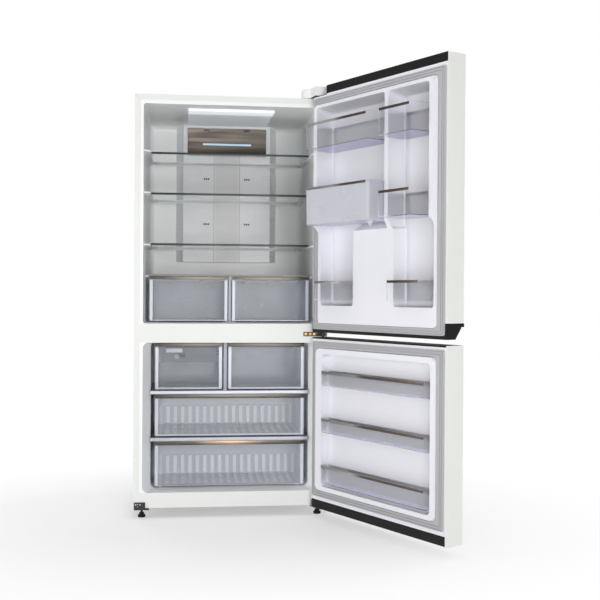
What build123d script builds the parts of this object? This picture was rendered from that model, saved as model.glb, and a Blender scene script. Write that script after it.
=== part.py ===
from math import cos, radians, sin, tan
import os

from build123d import *

os.makedirs("parts", exist_ok=True)

# Bottom freezer refrigerator, both doors standing open, in millimetres.
# X runs to the right, Y to the back, Z up. The origin is on the floor, below the middle of the
# cabinet's front plane (y = 0), so the doors lie at negative y.

# ---------------------------------------------------------------- driving sizes
CAB_W = 840.0           # cabinet width
CAB_TOP = 1827.0        # cabinet's top above the floor
CAB_BOTTOM = 44.0       # cabinet's underside above the floor
CAB_D = 640.0           # front plane to back panel
SHEET = 1.0             # painted steel sheet
FLANGE = 25.0           # front return of the steel wrap
FLANGE_LIP = 10.0       # lip behind the flange
RIM = 12.5              # white liner rim inside the flange, at the sides
TOP_RIM = 15.0          # the same at the top
LINER_T = 2.0           # formed plastic liner
MITRE_SLIT = 0.6        # gap of the mitred flange corners

MULLION_TOP = 840.0     # lower edge of the fridge compartment
MULLION_BOTTOM = 757.0  # upper edge of the freezer compartment
FREEZER_FLOOR = 109.0
FRIDGE_DEPTH = 589.0
FREEZER_DEPTH = 573.0
FRIDGE_BACK_HALF = 370.0   # half width of the fridge liner at its back wall
FREEZER_HALF = 350.0       # half width of the freezer liner behind its sloped mouth
FREEZER_MOUTH = 95.0       # depth of that sloped mouth
LINER_R = 25.0             # corner radius of the liners

DOOR_OPEN = 118.0       # angle at which both doors stand
HINGE_INSET = 25.0      # hinge axis to the cabinet's right side
HINGE_FWD = 46.5        # hinge axis to the cabinet's front plane
DOOR_GAP = 8.0          # closed door's inner plane to the cabinet's front plane
DOOR_T = 89.0           # door thickness
UPPER_TOP = 1862.0
UPPER_BOTTOM = 806.0
LOWER_TOP = 784.0
LOWER_BOTTOM = 43.0
CAP_H = 35.0            # black cap seen on the inner side of a door
GRIP_H = 60.0           # black grip cap below the upper door
GASKET_FREE = 0.3       # closed gasket to the cabinet's front plane

SHELF_Z = (1596.0, 1414.0, 1187.0)   # undersides of the three glass shelves
SHELF_HALF = 364.0
SHELF_FRONT = 182.0
SHELF_BACK = 530.0
GLASS_T = 4.0
REST_GAP = 0.3          # clearance under a drawer or shelf that slides
SIDE_GAP = 1.0          # clearance beside a drawer or shelf that slides

CRISPER_TOP = 1049.0
CRISPER_FRONT = 174.0
CRISPER_GLASS_Z = CRISPER_TOP + 1.0
CRISPER_DEPTH = 350.0
FREEZER_FRONT = 104.0   # fronts of the freezer drawers
BAR_FRONT = 84.0        # fronts of the freezer shelf bars
BAR_H = 17.0
BAR_HALF = 351.0
UPPER_BAR_TOP = 542.0
LOWER_BAR_TOP = 335.0
BAR_BACK = 480.0
SHELF_PLATE_T = 4.0
WALL = 2.0              # drawer and bin walls

PIN_R = 6.0             # hinge pins
PIN_FIT = 0.05          # running fit, radial
BORE_R = PIN_R + PIN_FIT
PIN_L = 22.0            # pin length inside a door
HINGE_PLATE = 5.0

FOOT_X = 384.0
FOOT_Y = 32.0
FOOT_R = 16.5
WHEEL_R = 20.0
WHEEL_Y = 590.0
ROLLER_X = 340.0
ROLLER_GAP = 11.0       # wheel's middle to each fork plate
AXLE_R = 3.0
FOOT_STEM_R = 5.0

# ---------------------------------------------------------------- derived sizes
HALF_W = CAB_W / 2
HALF_IN = HALF_W - FLANGE              # inner edge of the steel flange
HALF_OPEN = HALF_IN - RIM              # half width of the compartments' mouth
FRIDGE_TOP = CAB_TOP - FLANGE - TOP_RIM
HINGE_X = HALF_W - HINGE_INSET
N_IN = DOOR_GAP - HINGE_FWD            # door's inner plane, seen from the hinge axis
N_OUT = N_IN + DOOR_T
S_HINGE = -HINGE_INSET                 # door's edge beside the hinge
S_FREE = CAB_W - HINGE_INSET           # door's free edge

# A door's own frame: x runs from the hinge axis to the free edge, y to the outside, z up.
DOOR_TURN = DOOR_OPEN - 180.0
DOOR = Plane(
    origin=(HINGE_X, -HINGE_FWD, 0),
    x_dir=(cos(radians(DOOR_TURN)), sin(radians(DOOR_TURN)), 0),
    z_dir=(0, 0, 1),
)


def at_depth(y):
    """A plane across the cabinet, y behind its front. It looks forward."""
    return Plane.XZ.offset(-y)


def at_side(x):
    """A plane along the cabinet's side wall at x, with y to the back and z up."""
    return Plane.YZ.offset(x)


def on_door(n):
    """A plane along a door, n outside the hinge axis. It looks into the cabinet."""
    return Plane(DOOR.from_local_coords((0, n, 0)), x_dir=DOOR.x_dir, z_dir=-DOOR.y_dir)


def across_door(s):
    """A plane across a door, s from the hinge axis, with x to the outside and y up."""
    return Plane(DOOR.from_local_coords((s, 0, 0)), x_dir=DOOR.y_dir, z_dir=DOOR.x_dir)


def panel(x0, x1, y0, y1, mode=Mode.ADD):
    """A rectangle between two corners, in the active sketch."""
    with Locations(((x0 + x1) / 2, (y0 + y1) / 2)):
        Rectangle(x1 - x0, y1 - y0, mode=mode)


def round_panel(x0, x1, y0, y1, radius, mode=Mode.ADD):
    """The same with rounded corners."""
    with Locations(((x0 + x1) / 2, (y0 + y1) / 2)):
        RectangleRounded(x1 - x0, y1 - y0, radius, mode=mode)


def block(x0, x1, y0, y1, z0, z1, mode=Mode.ADD):
    """A box between two corners, in the active part."""
    with Locations(((x0 + x1) / 2, (y0 + y1) / 2, (z0 + z1) / 2)):
        Box(x1 - x0, y1 - y0, z1 - z0, mode=mode)


def rod(x, y, z0, z1, radius, mode=Mode.ADD):
    """An upright cylinder, in the active part."""
    with Locations((x, y, (z0 + z1) / 2)):
        Cylinder(radius, z1 - z0, mode=mode)


def door_block(s0, s1, n0, n1, z0, z1, mode=Mode.ADD):
    """A box between two corners in a door's own frame."""
    middle = DOOR.from_local_coords(((s0 + s1) / 2, (n0 + n1) / 2, (z0 + z1) / 2))
    with Locations(Location(middle, (0, 0, DOOR_TURN))):
        Box(s1 - s0, n1 - n0, z1 - z0, mode=mode)


def door_rod(s, n, z0, z1, radius, mode=Mode.ADD):
    """An upright cylinder in a door's own frame."""
    place = DOOR.from_local_coords((s, n, 0))
    rod(place.X, place.Y, z0, z1, radius, mode)


def save(builder, label):
    """Name a finished piece and write it."""
    builder.part.label = label
    export_step(builder.part, f"parts/{label}.step")


# The machine compartment at the lower back: a wall, a slope and a roof.
MACHINE_FRONT = 430.0
MACHINE_BEND = 215.0
MACHINE_ROOF = 290.0
MACHINE_ROOF_START = 505.0
MACHINE_WALL = 38.0     # foam between the machine compartment and the freezer
PAN_T = 1.5
MITRE = tan(radians(22.5))   # shift of a 45 degree bend for each millimetre of offset


def machine_outline(grow):
    """Side outline of the machine compartment; a positive grow shrinks it."""
    return (
        (MACHINE_FRONT + grow, CAB_BOTTOM - 60),
        (MACHINE_FRONT + grow, MACHINE_BEND - grow * MITRE),
        (MACHINE_ROOF_START + grow * MITRE, MACHINE_ROOF - grow),
        (CAB_D + 60, MACHINE_ROOF - grow),
        (CAB_D + 60, CAB_BOTTOM - 60),
    )


# ================================================================ cabinet
with BuildPart() as cabinet_shell:
    # sides and top in one bent sheet, open at the bottom and the back
    with BuildSketch(at_depth(0)):
        panel(-HALF_W, HALF_W, CAB_BOTTOM, CAB_TOP)
        panel(-HALF_W + SHEET, HALF_W - SHEET, CAB_BOTTOM, CAB_TOP - SHEET, Mode.SUBTRACT)
    extrude(amount=-CAB_D)
    with BuildSketch(at_depth(0)):
        panel(-HALF_W, HALF_W, CAB_BOTTOM, CAB_TOP)
        panel(-HALF_IN, HALF_IN, CAB_BOTTOM, CAB_TOP - FLANGE, Mode.SUBTRACT)
    extrude(amount=-SHEET)
    with BuildSketch(at_depth(0)):
        panel(-HALF_IN - SHEET, HALF_IN + SHEET, CAB_BOTTOM, CAB_TOP - FLANGE + SHEET)
        panel(-HALF_IN, HALF_IN, CAB_BOTTOM, CAB_TOP - FLANGE, Mode.SUBTRACT)
    extrude(amount=-FLANGE_LIP)
    # the flange meets itself in a mitre at both upper corners
    with BuildSketch(at_depth(-SHEET)):
        for side in (-1, 1):
            with Locations((side * (HALF_W - FLANGE / 2), CAB_TOP - FLANGE / 2)):
                Rectangle(FLANGE * 1.3, MITRE_SLIT, rotation=45 * side)
    extrude(amount=-2.5 * SHEET, mode=Mode.SUBTRACT)
    fillet(
        cabinet_shell.edges().filter_by(Axis.Y).filter_by(
            lambda e: e.length > CAB_D - 2 * SHEET and e.center().Z > CAB_TOP - 0.1
        ),
        radius=1.5,
    )
save(cabinet_shell, "cabinet_shell")


def tub(mouth_half, back_half, bottom, top, depth, skin):
    """A liner's form as one solid: a sloped stretch and a straight one. skin grows it."""
    with BuildPart() as form:
        with BuildSketch(at_depth(0)):
            round_panel(-mouth_half - skin, mouth_half + skin, bottom - skin, top + skin, 10)
        with BuildSketch(at_depth(depth + skin)):
            round_panel(-back_half - skin, back_half + skin, bottom - skin, top + skin, 10)
        loft()
        fillet(form.faces().sort_by(Axis.Y)[-1].edges(), radius=LINER_R + skin)
    return form.part


def freezer_form(skin):
    """The freezer liner's form: its mouth slopes in, and its lower back clears the machinery."""
    with BuildPart() as form:
        with BuildSketch(at_depth(0)):
            round_panel(-HALF_OPEN - skin, HALF_OPEN + skin, FREEZER_FLOOR - skin,
                        MULLION_BOTTOM + skin, LINER_R)
        with BuildSketch(at_depth(FREEZER_MOUTH)):
            round_panel(-FREEZER_HALF - skin, FREEZER_HALF + skin, FREEZER_FLOOR - skin,
                        MULLION_BOTTOM + skin, LINER_R)
        loft()
        with BuildSketch(at_depth(FREEZER_MOUTH)):
            round_panel(-FREEZER_HALF - skin, FREEZER_HALF + skin, FREEZER_FLOOR - skin,
                        MULLION_BOTTOM + skin, LINER_R)
        extrude(amount=-(FREEZER_DEPTH + skin - FREEZER_MOUTH))
        with BuildSketch(at_side(-HALF_W)):
            with BuildLine():
                Polyline(*machine_outline(skin - MACHINE_WALL), close=True)
            make_face()
        extrude(amount=CAB_W, mode=Mode.SUBTRACT)
    return form.part


fridge_solid = tub(HALF_OPEN, FRIDGE_BACK_HALF, MULLION_TOP, FRIDGE_TOP, FRIDGE_DEPTH, 0)
fridge_grown = tub(HALF_OPEN, FRIDGE_BACK_HALF, MULLION_TOP, FRIDGE_TOP, FRIDGE_DEPTH, LINER_T)
freezer_solid = freezer_form(0)
freezer_grown = freezer_form(LINER_T)

RIM_DEPTH = SHEET       # the liners' rims lie right behind the steel flange
RIM_HIDDEN = 10.0       # rim hidden behind the mullion and the kick panel
RAIL_H = 7.0            # moulded ledge under a shelf
RAIL_REACH = 9.0        # how far the ledge reaches under the shelf
RAIL_BACK = 545.0


def wall_x(y):
    """Middle of the fridge liner's side wall at depth y."""
    return HALF_OPEN + (FRIDGE_BACK_HALF - HALF_OPEN) * y / FRIDGE_DEPTH + LINER_T / 2


with BuildPart() as fridge_liner:
    add(fridge_grown)
    with BuildSketch(at_depth(RIM_DEPTH)):
        panel(-HALF_IN, HALF_IN, MULLION_TOP - RIM_HIDDEN, FRIDGE_TOP + TOP_RIM)
    extrude(amount=-LINER_T)
    add(fridge_solid, mode=Mode.SUBTRACT)
    block(-HALF_W, HALF_W, -1, RIM_DEPTH, 0, CAB_TOP, Mode.SUBTRACT)
    # ledges that carry the shelves and the crisper's glass, one on each wall at each height
    for top, front in (*((z - REST_GAP, 70.0) for z in SHELF_Z), (CRISPER_GLASS_Z, 195.0)):
        for side in (-1, 1):
            with BuildSketch(Plane.XY.offset(top - RAIL_H)):
                with BuildLine():
                    Polyline(
                        (side * (SHELF_HALF - RAIL_REACH), front),
                        (side * wall_x(front - 15), front - 15),
                        (side * wall_x(RAIL_BACK), RAIL_BACK),
                        (side * (SHELF_HALF - RAIL_REACH), RAIL_BACK),
                        close=True,
                    )
                make_face()
            extrude(amount=RAIL_H)
save(fridge_liner, "fridge_liner")

with BuildPart() as freezer_liner:
    add(freezer_grown)
    with BuildSketch(at_depth(RIM_DEPTH)):
        panel(-HALF_IN, HALF_IN, FREEZER_FLOOR - RIM_HIDDEN, MULLION_BOTTOM + RIM_HIDDEN)
    extrude(amount=-LINER_T)
    add(freezer_solid, mode=Mode.SUBTRACT)
    block(-HALF_W, HALF_W, -1, RIM_DEPTH, 0, CAB_TOP, Mode.SUBTRACT)
    # ledges below the two freezer shelves
    for top in (UPPER_BAR_TOP, LOWER_BAR_TOP):
        for side in (-1, 1):
            x = side * (FREEZER_HALF - 3)
            block(x - 4, x + 4, FREEZER_MOUTH + 5, BAR_BACK, top - SHELF_PLATE_T - RAIL_H,
                  top - SHELF_PLATE_T)
save(freezer_liner, "freezer_liner")

FOAM_FRONT = RIM_DEPTH + LINER_T
BACK_SHEET = 0.8
BOSS_H = 22.0           # threaded boss of a foot

with BuildPart() as cabinet_foam:
    block(-HALF_W + SHEET, HALF_W - SHEET, FLANGE_LIP, CAB_D, CAB_BOTTOM + PAN_T, CAB_TOP - SHEET)
    block(-HALF_IN, HALF_IN, FOAM_FRONT, FLANGE_LIP, CAB_BOTTOM + 60, CAB_TOP - FLANGE)
    add(fridge_grown, mode=Mode.SUBTRACT)
    add(freezer_grown, mode=Mode.SUBTRACT)
    with BuildSketch(at_side(-HALF_W)):
        with BuildLine():
            Polyline(*machine_outline(-PAN_T), close=True)
        make_face()
    extrude(amount=CAB_W, mode=Mode.SUBTRACT)
    for side in (-1, 1):
        rod(side * FOOT_X, FOOT_Y, CAB_BOTTOM, CAB_BOTTOM + BOSS_H, FOOT_STEM_R + 5, Mode.SUBTRACT)
save(cabinet_foam, "cabinet_foam")

KICK_T = 2.5
KICK_TOP = FREEZER_FLOOR

with BuildPart() as back_panel:
    block(-HALF_W + SHEET, HALF_W - SHEET, CAB_D, CAB_D + BACK_SHEET, MACHINE_ROOF, CAB_TOP - 3)
    # pressed beads stiffen the sheet
    for x in (-250, 0, 250):
        with BuildSketch(at_depth(CAB_D + BACK_SHEET)):
            with Locations((x, 1080)):
                SlotOverall(1300, 40, rotation=90)
        extrude(amount=-3, taper=40)
save(back_panel, "back_panel")

with BuildPart() as base_pan:
    # floor of the cabinet, machine wall, slope and roof in one folded sheet
    with BuildSketch(at_side(-HALF_W + SHEET)):
        with BuildLine():
            Polyline(
                (FLANGE_LIP, CAB_BOTTOM),
                (MACHINE_FRONT, CAB_BOTTOM),
                (MACHINE_FRONT, MACHINE_BEND),
                (MACHINE_ROOF_START, MACHINE_ROOF),
                (CAB_D, MACHINE_ROOF),
                (CAB_D, MACHINE_ROOF + PAN_T),
                (MACHINE_ROOF_START - PAN_T * MITRE, MACHINE_ROOF + PAN_T),
                (MACHINE_FRONT - PAN_T, MACHINE_BEND + PAN_T * MITRE),
                (MACHINE_FRONT - PAN_T, CAB_BOTTOM + PAN_T),
                (FLANGE_LIP, CAB_BOTTOM + PAN_T),
                close=True,
            )
        make_face()
    extrude(amount=CAB_W - 2 * SHEET)
    # tray below the machinery
    block(-HALF_W + SHEET, HALF_W - SHEET, MACHINE_FRONT, CAB_D, CAB_BOTTOM, CAB_BOTTOM + PAN_T)
    # forks of the rear rollers
    for side in (-1, 1):
        for offset in (-ROLLER_GAP, ROLLER_GAP):
            x = side * ROLLER_X + offset
            with BuildSketch(at_side(x - PAN_T / 2)):
                with BuildLine():
                    Polyline(
                        (WHEEL_Y - 26, CAB_BOTTOM),
                        (WHEEL_Y - 10, WHEEL_R - 8),
                        (WHEEL_Y + 10, WHEEL_R - 8),
                        (WHEEL_Y + 26, CAB_BOTTOM),
                        close=True,
                    )
                make_face()
                with Locations((WHEEL_Y, WHEEL_R)):
                    Circle(AXLE_R + PIN_FIT, mode=Mode.SUBTRACT)
            extrude(amount=PAN_T)
    # threaded bosses for the front feet
    for side in (-1, 1):
        rod(side * FOOT_X, FOOT_Y, CAB_BOTTOM, CAB_BOTTOM + BOSS_H, FOOT_STEM_R + 5)
        rod(side * FOOT_X, FOOT_Y, CAB_BOTTOM - 1, CAB_BOTTOM + BOSS_H + 1,
            FOOT_STEM_R + PIN_FIT, Mode.SUBTRACT)
save(base_pan, "base_pan")


# ---------------------------------------------------------------- fixed trims and linings
with BuildPart() as mullion_trim:
    block(-HALF_IN, HALF_IN, 0, RIM_DEPTH, MULLION_BOTTOM, MULLION_TOP)
    fillet(mullion_trim.edges().filter_by(Axis.X).sort_by(Axis.Y)[0:2], radius=0.8)
save(mullion_trim, "mullion_trim")

with BuildPart() as kick_panel:
    block(-HALF_IN, HALF_IN, 0, RIM_DEPTH, CAB_BOTTOM, KICK_TOP)
    # stiffening ribs behind the plate, up to the foam
    for z in (CAB_BOTTOM, 66.0, 92.0):
        block(-HALF_IN, HALF_IN, RIM_DEPTH, FLANGE_LIP, z, z + KICK_T)
    for x in range(-360, 361, 120):
        block(x - 1, x + 1, RIM_DEPTH, FLANGE_LIP, CAB_BOTTOM, 92.0)
save(kick_panel, "kick_panel")

DUCT_FRONT = 535.0
DUCT_HALF = 210.5
DUCT_BOTTOM = 1124.0
DUCT_SEAM_X = 62.0
DUCT_T = 2.5
PLATE_HALF = 191.0
PLATE_BOTTOM = 1640.0
PLATE_TOP = 1774.0
PLATE_T = 3.0
VENT_X = 98.0
VENT_Z = (1527.0, 1308.0)
LIGHT_HALF = 117.0
LIGHT_Z = 1695.0
LIGHT_H = 9.0
AIR_SLOT_Z = 1764.0


def duct_outline(inset, top):
    """Plan outline of the air duct's cover: a flat front with splayed sides."""
    back = FRIDGE_DEPTH - REST_GAP
    return (
        (-DUCT_HALF + inset, DUCT_FRONT + inset),
        (DUCT_HALF - inset, DUCT_FRONT + inset),
        (DUCT_HALF + 34 - inset, back + top),
        (-DUCT_HALF - 34 + inset, back + top),
    )


with BuildPart() as duct_cover:
    with BuildSketch(Plane.XY.offset(DUCT_BOTTOM)):
        with BuildLine():
            Polyline(*duct_outline(0, REST_GAP), close=True)
        make_face()
    extrude(amount=FRIDGE_TOP - DUCT_BOTTOM)
    # the cover follows the liner's rounded corners
    add(fridge_solid, mode=Mode.INTERSECT)
    with BuildSketch(Plane.XY.offset(DUCT_BOTTOM + DUCT_T)):
        with BuildLine():
            Polyline(*duct_outline(DUCT_T, 5), close=True)
        make_face()
    extrude(amount=FRIDGE_TOP - DUCT_BOTTOM - 2 * DUCT_T, mode=Mode.SUBTRACT)
    # fine grooves between the cover's three fields
    for x in (-DUCT_SEAM_X, DUCT_SEAM_X):
        block(x - 0.8, x + 0.8, DUCT_FRONT - 1, DUCT_FRONT + 0.8, DUCT_BOTTOM + 20,
              PLATE_BOTTOM, Mode.SUBTRACT)
    # air outlets, each divided by upright bars
    for z in VENT_Z:
        for x in (-VENT_X, VENT_X):
            for column in range(3):
                left = x - 14 + column * 10
                block(left, left + 7, DUCT_FRONT - 1, DUCT_FRONT + DUCT_T + 1, z - 4, z + 4,
                      Mode.SUBTRACT)
    # air passes through the plate's upper slots, and light through the lower one
    for x in (-VENT_X, VENT_X):
        block(x - 16, x + 16, DUCT_FRONT - 1, DUCT_FRONT + DUCT_T + 1, AIR_SLOT_Z - 4,
              AIR_SLOT_Z + 4, Mode.SUBTRACT)
save(duct_cover, "duct_cover")

with BuildPart() as duct_plate:
    with BuildSketch(at_depth(DUCT_FRONT)):
        round_panel(-PLATE_HALF, PLATE_HALF, PLATE_BOTTOM, PLATE_TOP, 6)
        for x in (-VENT_X, VENT_X):
            with Locations((x, AIR_SLOT_Z)):
                RectangleRounded(33, 9, 3, mode=Mode.SUBTRACT)
        panel(-LIGHT_HALF, LIGHT_HALF, LIGHT_Z - LIGHT_H / 2, LIGHT_Z + LIGHT_H / 2,
              Mode.SUBTRACT)
    extrude(amount=PLATE_T)
    # louvres in the two slots
    for x in (-VENT_X, VENT_X):
        for bar in range(-2, 3):
            block(x + bar * 5.5 - 0.8, x + bar * 5.5 + 0.8, DUCT_FRONT - PLATE_T,
                  DUCT_FRONT, AIR_SLOT_Z - 4.5, AIR_SLOT_Z + 4.5)
    chamfer(duct_plate.faces().sort_by(Axis.Y)[0].edges().group_by(Edge.length)[-1], 0.6)
save(duct_plate, "duct_plate")

LAMP_HALF = 190.0
LAMP_FRONT = 95.0
LAMP_BACK = 190.0
LAMP_DROP = 9.0
CEILING_PANEL_T = 3.0

with BuildPart() as lamp_lenses:
    # the ceiling lamp's lens, with a sloped front edge
    with BuildSketch(at_side(-LAMP_HALF)):
        with BuildLine():
            Polyline(
                (LAMP_FRONT, FRIDGE_TOP),
                (LAMP_FRONT + 8, FRIDGE_TOP - LAMP_DROP),
                (LAMP_BACK - 4, FRIDGE_TOP - LAMP_DROP),
                (LAMP_BACK, FRIDGE_TOP - LAMP_DROP + 4),
                (LAMP_BACK, FRIDGE_TOP),
                close=True,
            )
        make_face()
    extrude(amount=2 * LAMP_HALF)
    # frosted panel that carries the lamp's light back along the ceiling
    block(-LAMP_HALF, LAMP_HALF, LAMP_BACK + 2, DUCT_FRONT - PLATE_T - 1,
          FRIDGE_TOP - CEILING_PANEL_T, FRIDGE_TOP)
    # light bar in the duct's plate
    block(-LIGHT_HALF + 0.2, LIGHT_HALF - 0.2, DUCT_FRONT - PLATE_T - 0.5, DUCT_FRONT,
          LIGHT_Z - LIGHT_H / 2 + 0.2, LIGHT_Z + LIGHT_H / 2 - 0.2)
save(lamp_lenses, "lamp_lenses")

# ---------------------------------------------------------------- glass shelves
TRIM_D = 12.0
TRIM_LIP = 1.5


glass_half = SHELF_HALF - SIDE_GAP
for number, z in enumerate(SHELF_Z, start=1):
    with BuildPart() as shelf_glass:
        block(-glass_half, glass_half, SHELF_FRONT + TRIM_LIP, SHELF_BACK, z, z + GLASS_T)
        chamfer(shelf_glass.edges().filter_by(Axis.Z), 4)
    save(shelf_glass, f"shelf_{number}_glass")
    with BuildPart() as shelf_trim:
        with BuildSketch(at_side(-glass_half)):
            panel(SHELF_FRONT, SHELF_FRONT + TRIM_D, z + GLASS_T, z + GLASS_T + TRIM_LIP)
            panel(SHELF_FRONT, SHELF_FRONT + TRIM_LIP, z, z + GLASS_T + TRIM_LIP)
        extrude(amount=2 * glass_half)
        # the rear trim stands up, so that nothing slides off the back
        with BuildSketch(at_side(-glass_half + 10)):
            panel(SHELF_BACK, SHELF_BACK + 2, z - 8, z + 12)
            panel(SHELF_BACK - TRIM_D, SHELF_BACK + 1, z + GLASS_T, z + GLASS_T + 1.5)
            panel(SHELF_BACK - TRIM_D, SHELF_BACK + 1, z - 1.5, z)
        extrude(amount=2 * glass_half - 20)
        # round stops below the rear corners
        for side in (-1, 1):
            rod(side * (glass_half - 24), SHELF_BACK - 16, z - 7, z, 7)
    save(shelf_trim, f"shelf_{number}_trim")

CRISPER_GLASS_BACK = 560.0
with BuildPart() as crisper_cover:
    block(-SHELF_HALF, SHELF_HALF, CRISPER_FRONT + TRIM_LIP, CRISPER_GLASS_BACK,
          CRISPER_GLASS_Z, CRISPER_GLASS_Z + GLASS_T)
    chamfer(crisper_cover.edges().filter_by(Axis.Z), 4)
save(crisper_cover, "crisper_cover")

# ---------------------------------------------------------------- drawer frames
CRISPER_SPLIT = 6.0      # half thickness of the wall between the crispers
FREEZER_SPLIT_X = -22.0  # middle of the wall between the upper freezer drawers
FREEZER_SPLIT = 8.0
FOOT_PLATE = 26.0

with BuildPart() as drawer_frames:
    # wall between the crispers, with a small foot at its front
    block(-CRISPER_SPLIT + 1, CRISPER_SPLIT - 1, CRISPER_FRONT + 10, CRISPER_FRONT + CRISPER_DEPTH,
          MULLION_TOP, CRISPER_GLASS_Z)
    block(-FOOT_PLATE, FOOT_PLATE, CRISPER_FRONT + 10, CRISPER_FRONT + 60, MULLION_TOP,
          MULLION_TOP + 4)
    # trim along the crisper glass
    with BuildSketch(at_side(-SHELF_HALF)):
        panel(CRISPER_FRONT, CRISPER_FRONT + TRIM_LIP, CRISPER_GLASS_Z,
              CRISPER_GLASS_Z + GLASS_T + TRIM_LIP)
        panel(CRISPER_FRONT, CRISPER_FRONT + TRIM_D, CRISPER_GLASS_Z + GLASS_T,
              CRISPER_GLASS_Z + GLASS_T + TRIM_LIP)
    extrude(amount=2 * SHELF_HALF)
    # two freezer shelves, each with a front bar
    for top in (UPPER_BAR_TOP, LOWER_BAR_TOP):
        with BuildSketch(at_side(-BAR_HALF + 2)):
            panel(BAR_FRONT + 4, BAR_BACK, top - SHELF_PLATE_T, top)
            panel(BAR_FRONT + 4, BAR_FRONT + 8, top - BAR_H, top)
        extrude(amount=2 * BAR_HALF - 4)
        with BuildSketch(at_side(-BAR_HALF)):
            round_panel(BAR_FRONT - 2, BAR_FRONT + 6, top - BAR_H, top, 3)
        extrude(amount=2 * BAR_HALF)
    # wall between the upper freezer drawers
    block(FREEZER_SPLIT_X - FREEZER_SPLIT + 1, FREEZER_SPLIT_X + FREEZER_SPLIT - 1,
          FREEZER_FRONT + 10, BAR_BACK, UPPER_BAR_TOP, MULLION_BOTTOM)
save(drawer_frames, "drawer_frames")


# ---------------------------------------------------------------- drawers
TUB_SIDE = 9.0          # tub's side walls to the ends of the front
TUB_TAPER = 0.026       # how fast the tub widens upward
RUNNER_IN = 24.0
STRIP_OUT = 4.0         # grip strip in front of the front wall
RIB_FOOT = 130.0        # how far a rib runs forward along the floor


def funnel(plane_a, sides_a, plane_b, sides_b, radius):
    """A rounded block between a rectangle on one plane and a rectangle on another."""
    with BuildPart() as form:
        with BuildSketch(plane_a):
            round_panel(*sides_a, radius)
        with BuildSketch(plane_b):
            round_panel(*sides_b, radius)
        loft()
    return form.part


def tub_solid(x0, x1, y0, y1, z0, z1, inset):
    """A drawer's tub as one solid that widens upward."""
    grow = (z1 - z0) * TUB_TAPER - inset
    return funnel(
        Plane.XY.offset(z0), (x0 + inset, x1 - inset, y0 + inset, y1 - inset),
        Plane.XY.offset(z1), (x0 - grow, x1 + grow, y0 - grow / 4 + inset, y1 + grow), 12,
    )


def drawer(x0, x1, z0, z1, tub_top, front, depth, floor, strip, ribs, rib_h):
    """A see-through drawer: widening tub, front wall with a grip strip, two floor runners."""
    sides = (x0 + TUB_SIDE, x1 - TUB_SIDE, front + 2, front + depth)
    outside = tub_solid(*sides, z0, tub_top, 0)
    inside = tub_solid(*sides, z0 + WALL, tub_top + 1, WALL)
    with BuildPart() as box:
        add(outside)
        # front wall and the strip that is gripped
        with BuildSketch(at_depth(front)):
            round_panel(x0, x1, z0 - 3, z1, 8)
        extrude(amount=-WALL - 1)
        with BuildSketch(at_side(x0 + 1)):
            with BuildLine():
                Polyline(
                    (front - STRIP_OUT, z1),
                    (front - STRIP_OUT, z1 - strip),
                    (front, z1 - strip - STRIP_OUT),
                    (front + 1, z1 - strip - STRIP_OUT),
                    (front + 1, z1 - 2),
                    (front + 10, z1 - 2),
                    (front + 10, z1),
                    close=True,
                )
            make_face()
        extrude(amount=x1 - x0 - 2)
        # a shallow ledge runs below the strip
        block(x0 + 14, x1 - 14, front - 1.2, front + 1, z1 - strip - 14, z1 - strip - 12)
        add(inside, mode=Mode.SUBTRACT)
        for side in (x0 + RUNNER_IN, x1 - RUNNER_IN - 6):
            block(side, side + 6, front + 30, front + depth - 30, floor + REST_GAP, z0 + 1)
        # upright ribs at the back turn forward along the floor
        back = front + depth - WALL / 2
        rib_floor = z0 + WALL / 2
        pitch = (x1 - x0 - 80) / max(ribs, 1)
        for number in range(ribs):
            with BuildSketch(at_side(x0 + 40 + pitch * (number + 0.25))):
                with BuildLine():
                    Polyline(
                        (back, rib_floor),
                        (back + rib_h * TUB_TAPER, rib_floor + rib_h),
                        (back - 5, rib_floor + rib_h - 4),
                        (back - 12, rib_floor + 8),
                        (back - RIB_FOOT + 10, rib_floor + 5),
                        (back - RIB_FOOT, rib_floor),
                        close=True,
                    )
                make_face()
            extrude(amount=pitch / 2)
    return box


FREEZER_HALF_DRAWER = 334.0
DRAWER_TOP_GAP = 2.0
STRIP_H = 18.0
CRISPER_STRIP_H = 15.0
RUN_H = 7.0
FREEZER_TUB = 364.0
BOTTOM_TUB = 262.0
TALL_RIB = 93.0         # ribs of the two lower freezer drawers
LOW_RIB = 30.0          # ribs of the two upper ones
TRAY_X = -236.0         # axis of the ice tray
TRAY_Z = 688.0
TRAY_HALF = 62.0
TRAY_DEPTH = 18.0       # the tray's axis to its underside
TRAY_TWIST = 25.0       # how far the tray turns to drop its ice
TRAY_ABOVE = 5.0        # the turned tray to the ice drawer's rim
TWIST_DROP = TRAY_HALF * sin(radians(TRAY_TWIST)) + TRAY_DEPTH * cos(radians(TRAY_TWIST))
ICE_TUB_TOP = TRAY_Z - TWIST_DROP - TRAY_ABOVE
UPPER_DRAWER_TOP = MULLION_BOTTOM - 5
MIDDLE_DRAWER_TOP = UPPER_BAR_TOP - BAR_H - DRAWER_TOP_GAP
BOTTOM_DRAWER_TOP = LOWER_BAR_TOP - BAR_H - DRAWER_TOP_GAP
crisper = (MULLION_TOP + 10, CRISPER_TOP - 1, CRISPER_TOP - 1 - CRISPER_STRIP_H, CRISPER_FRONT,
           CRISPER_DEPTH, MULLION_TOP, CRISPER_STRIP_H, 0, 0)
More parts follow.
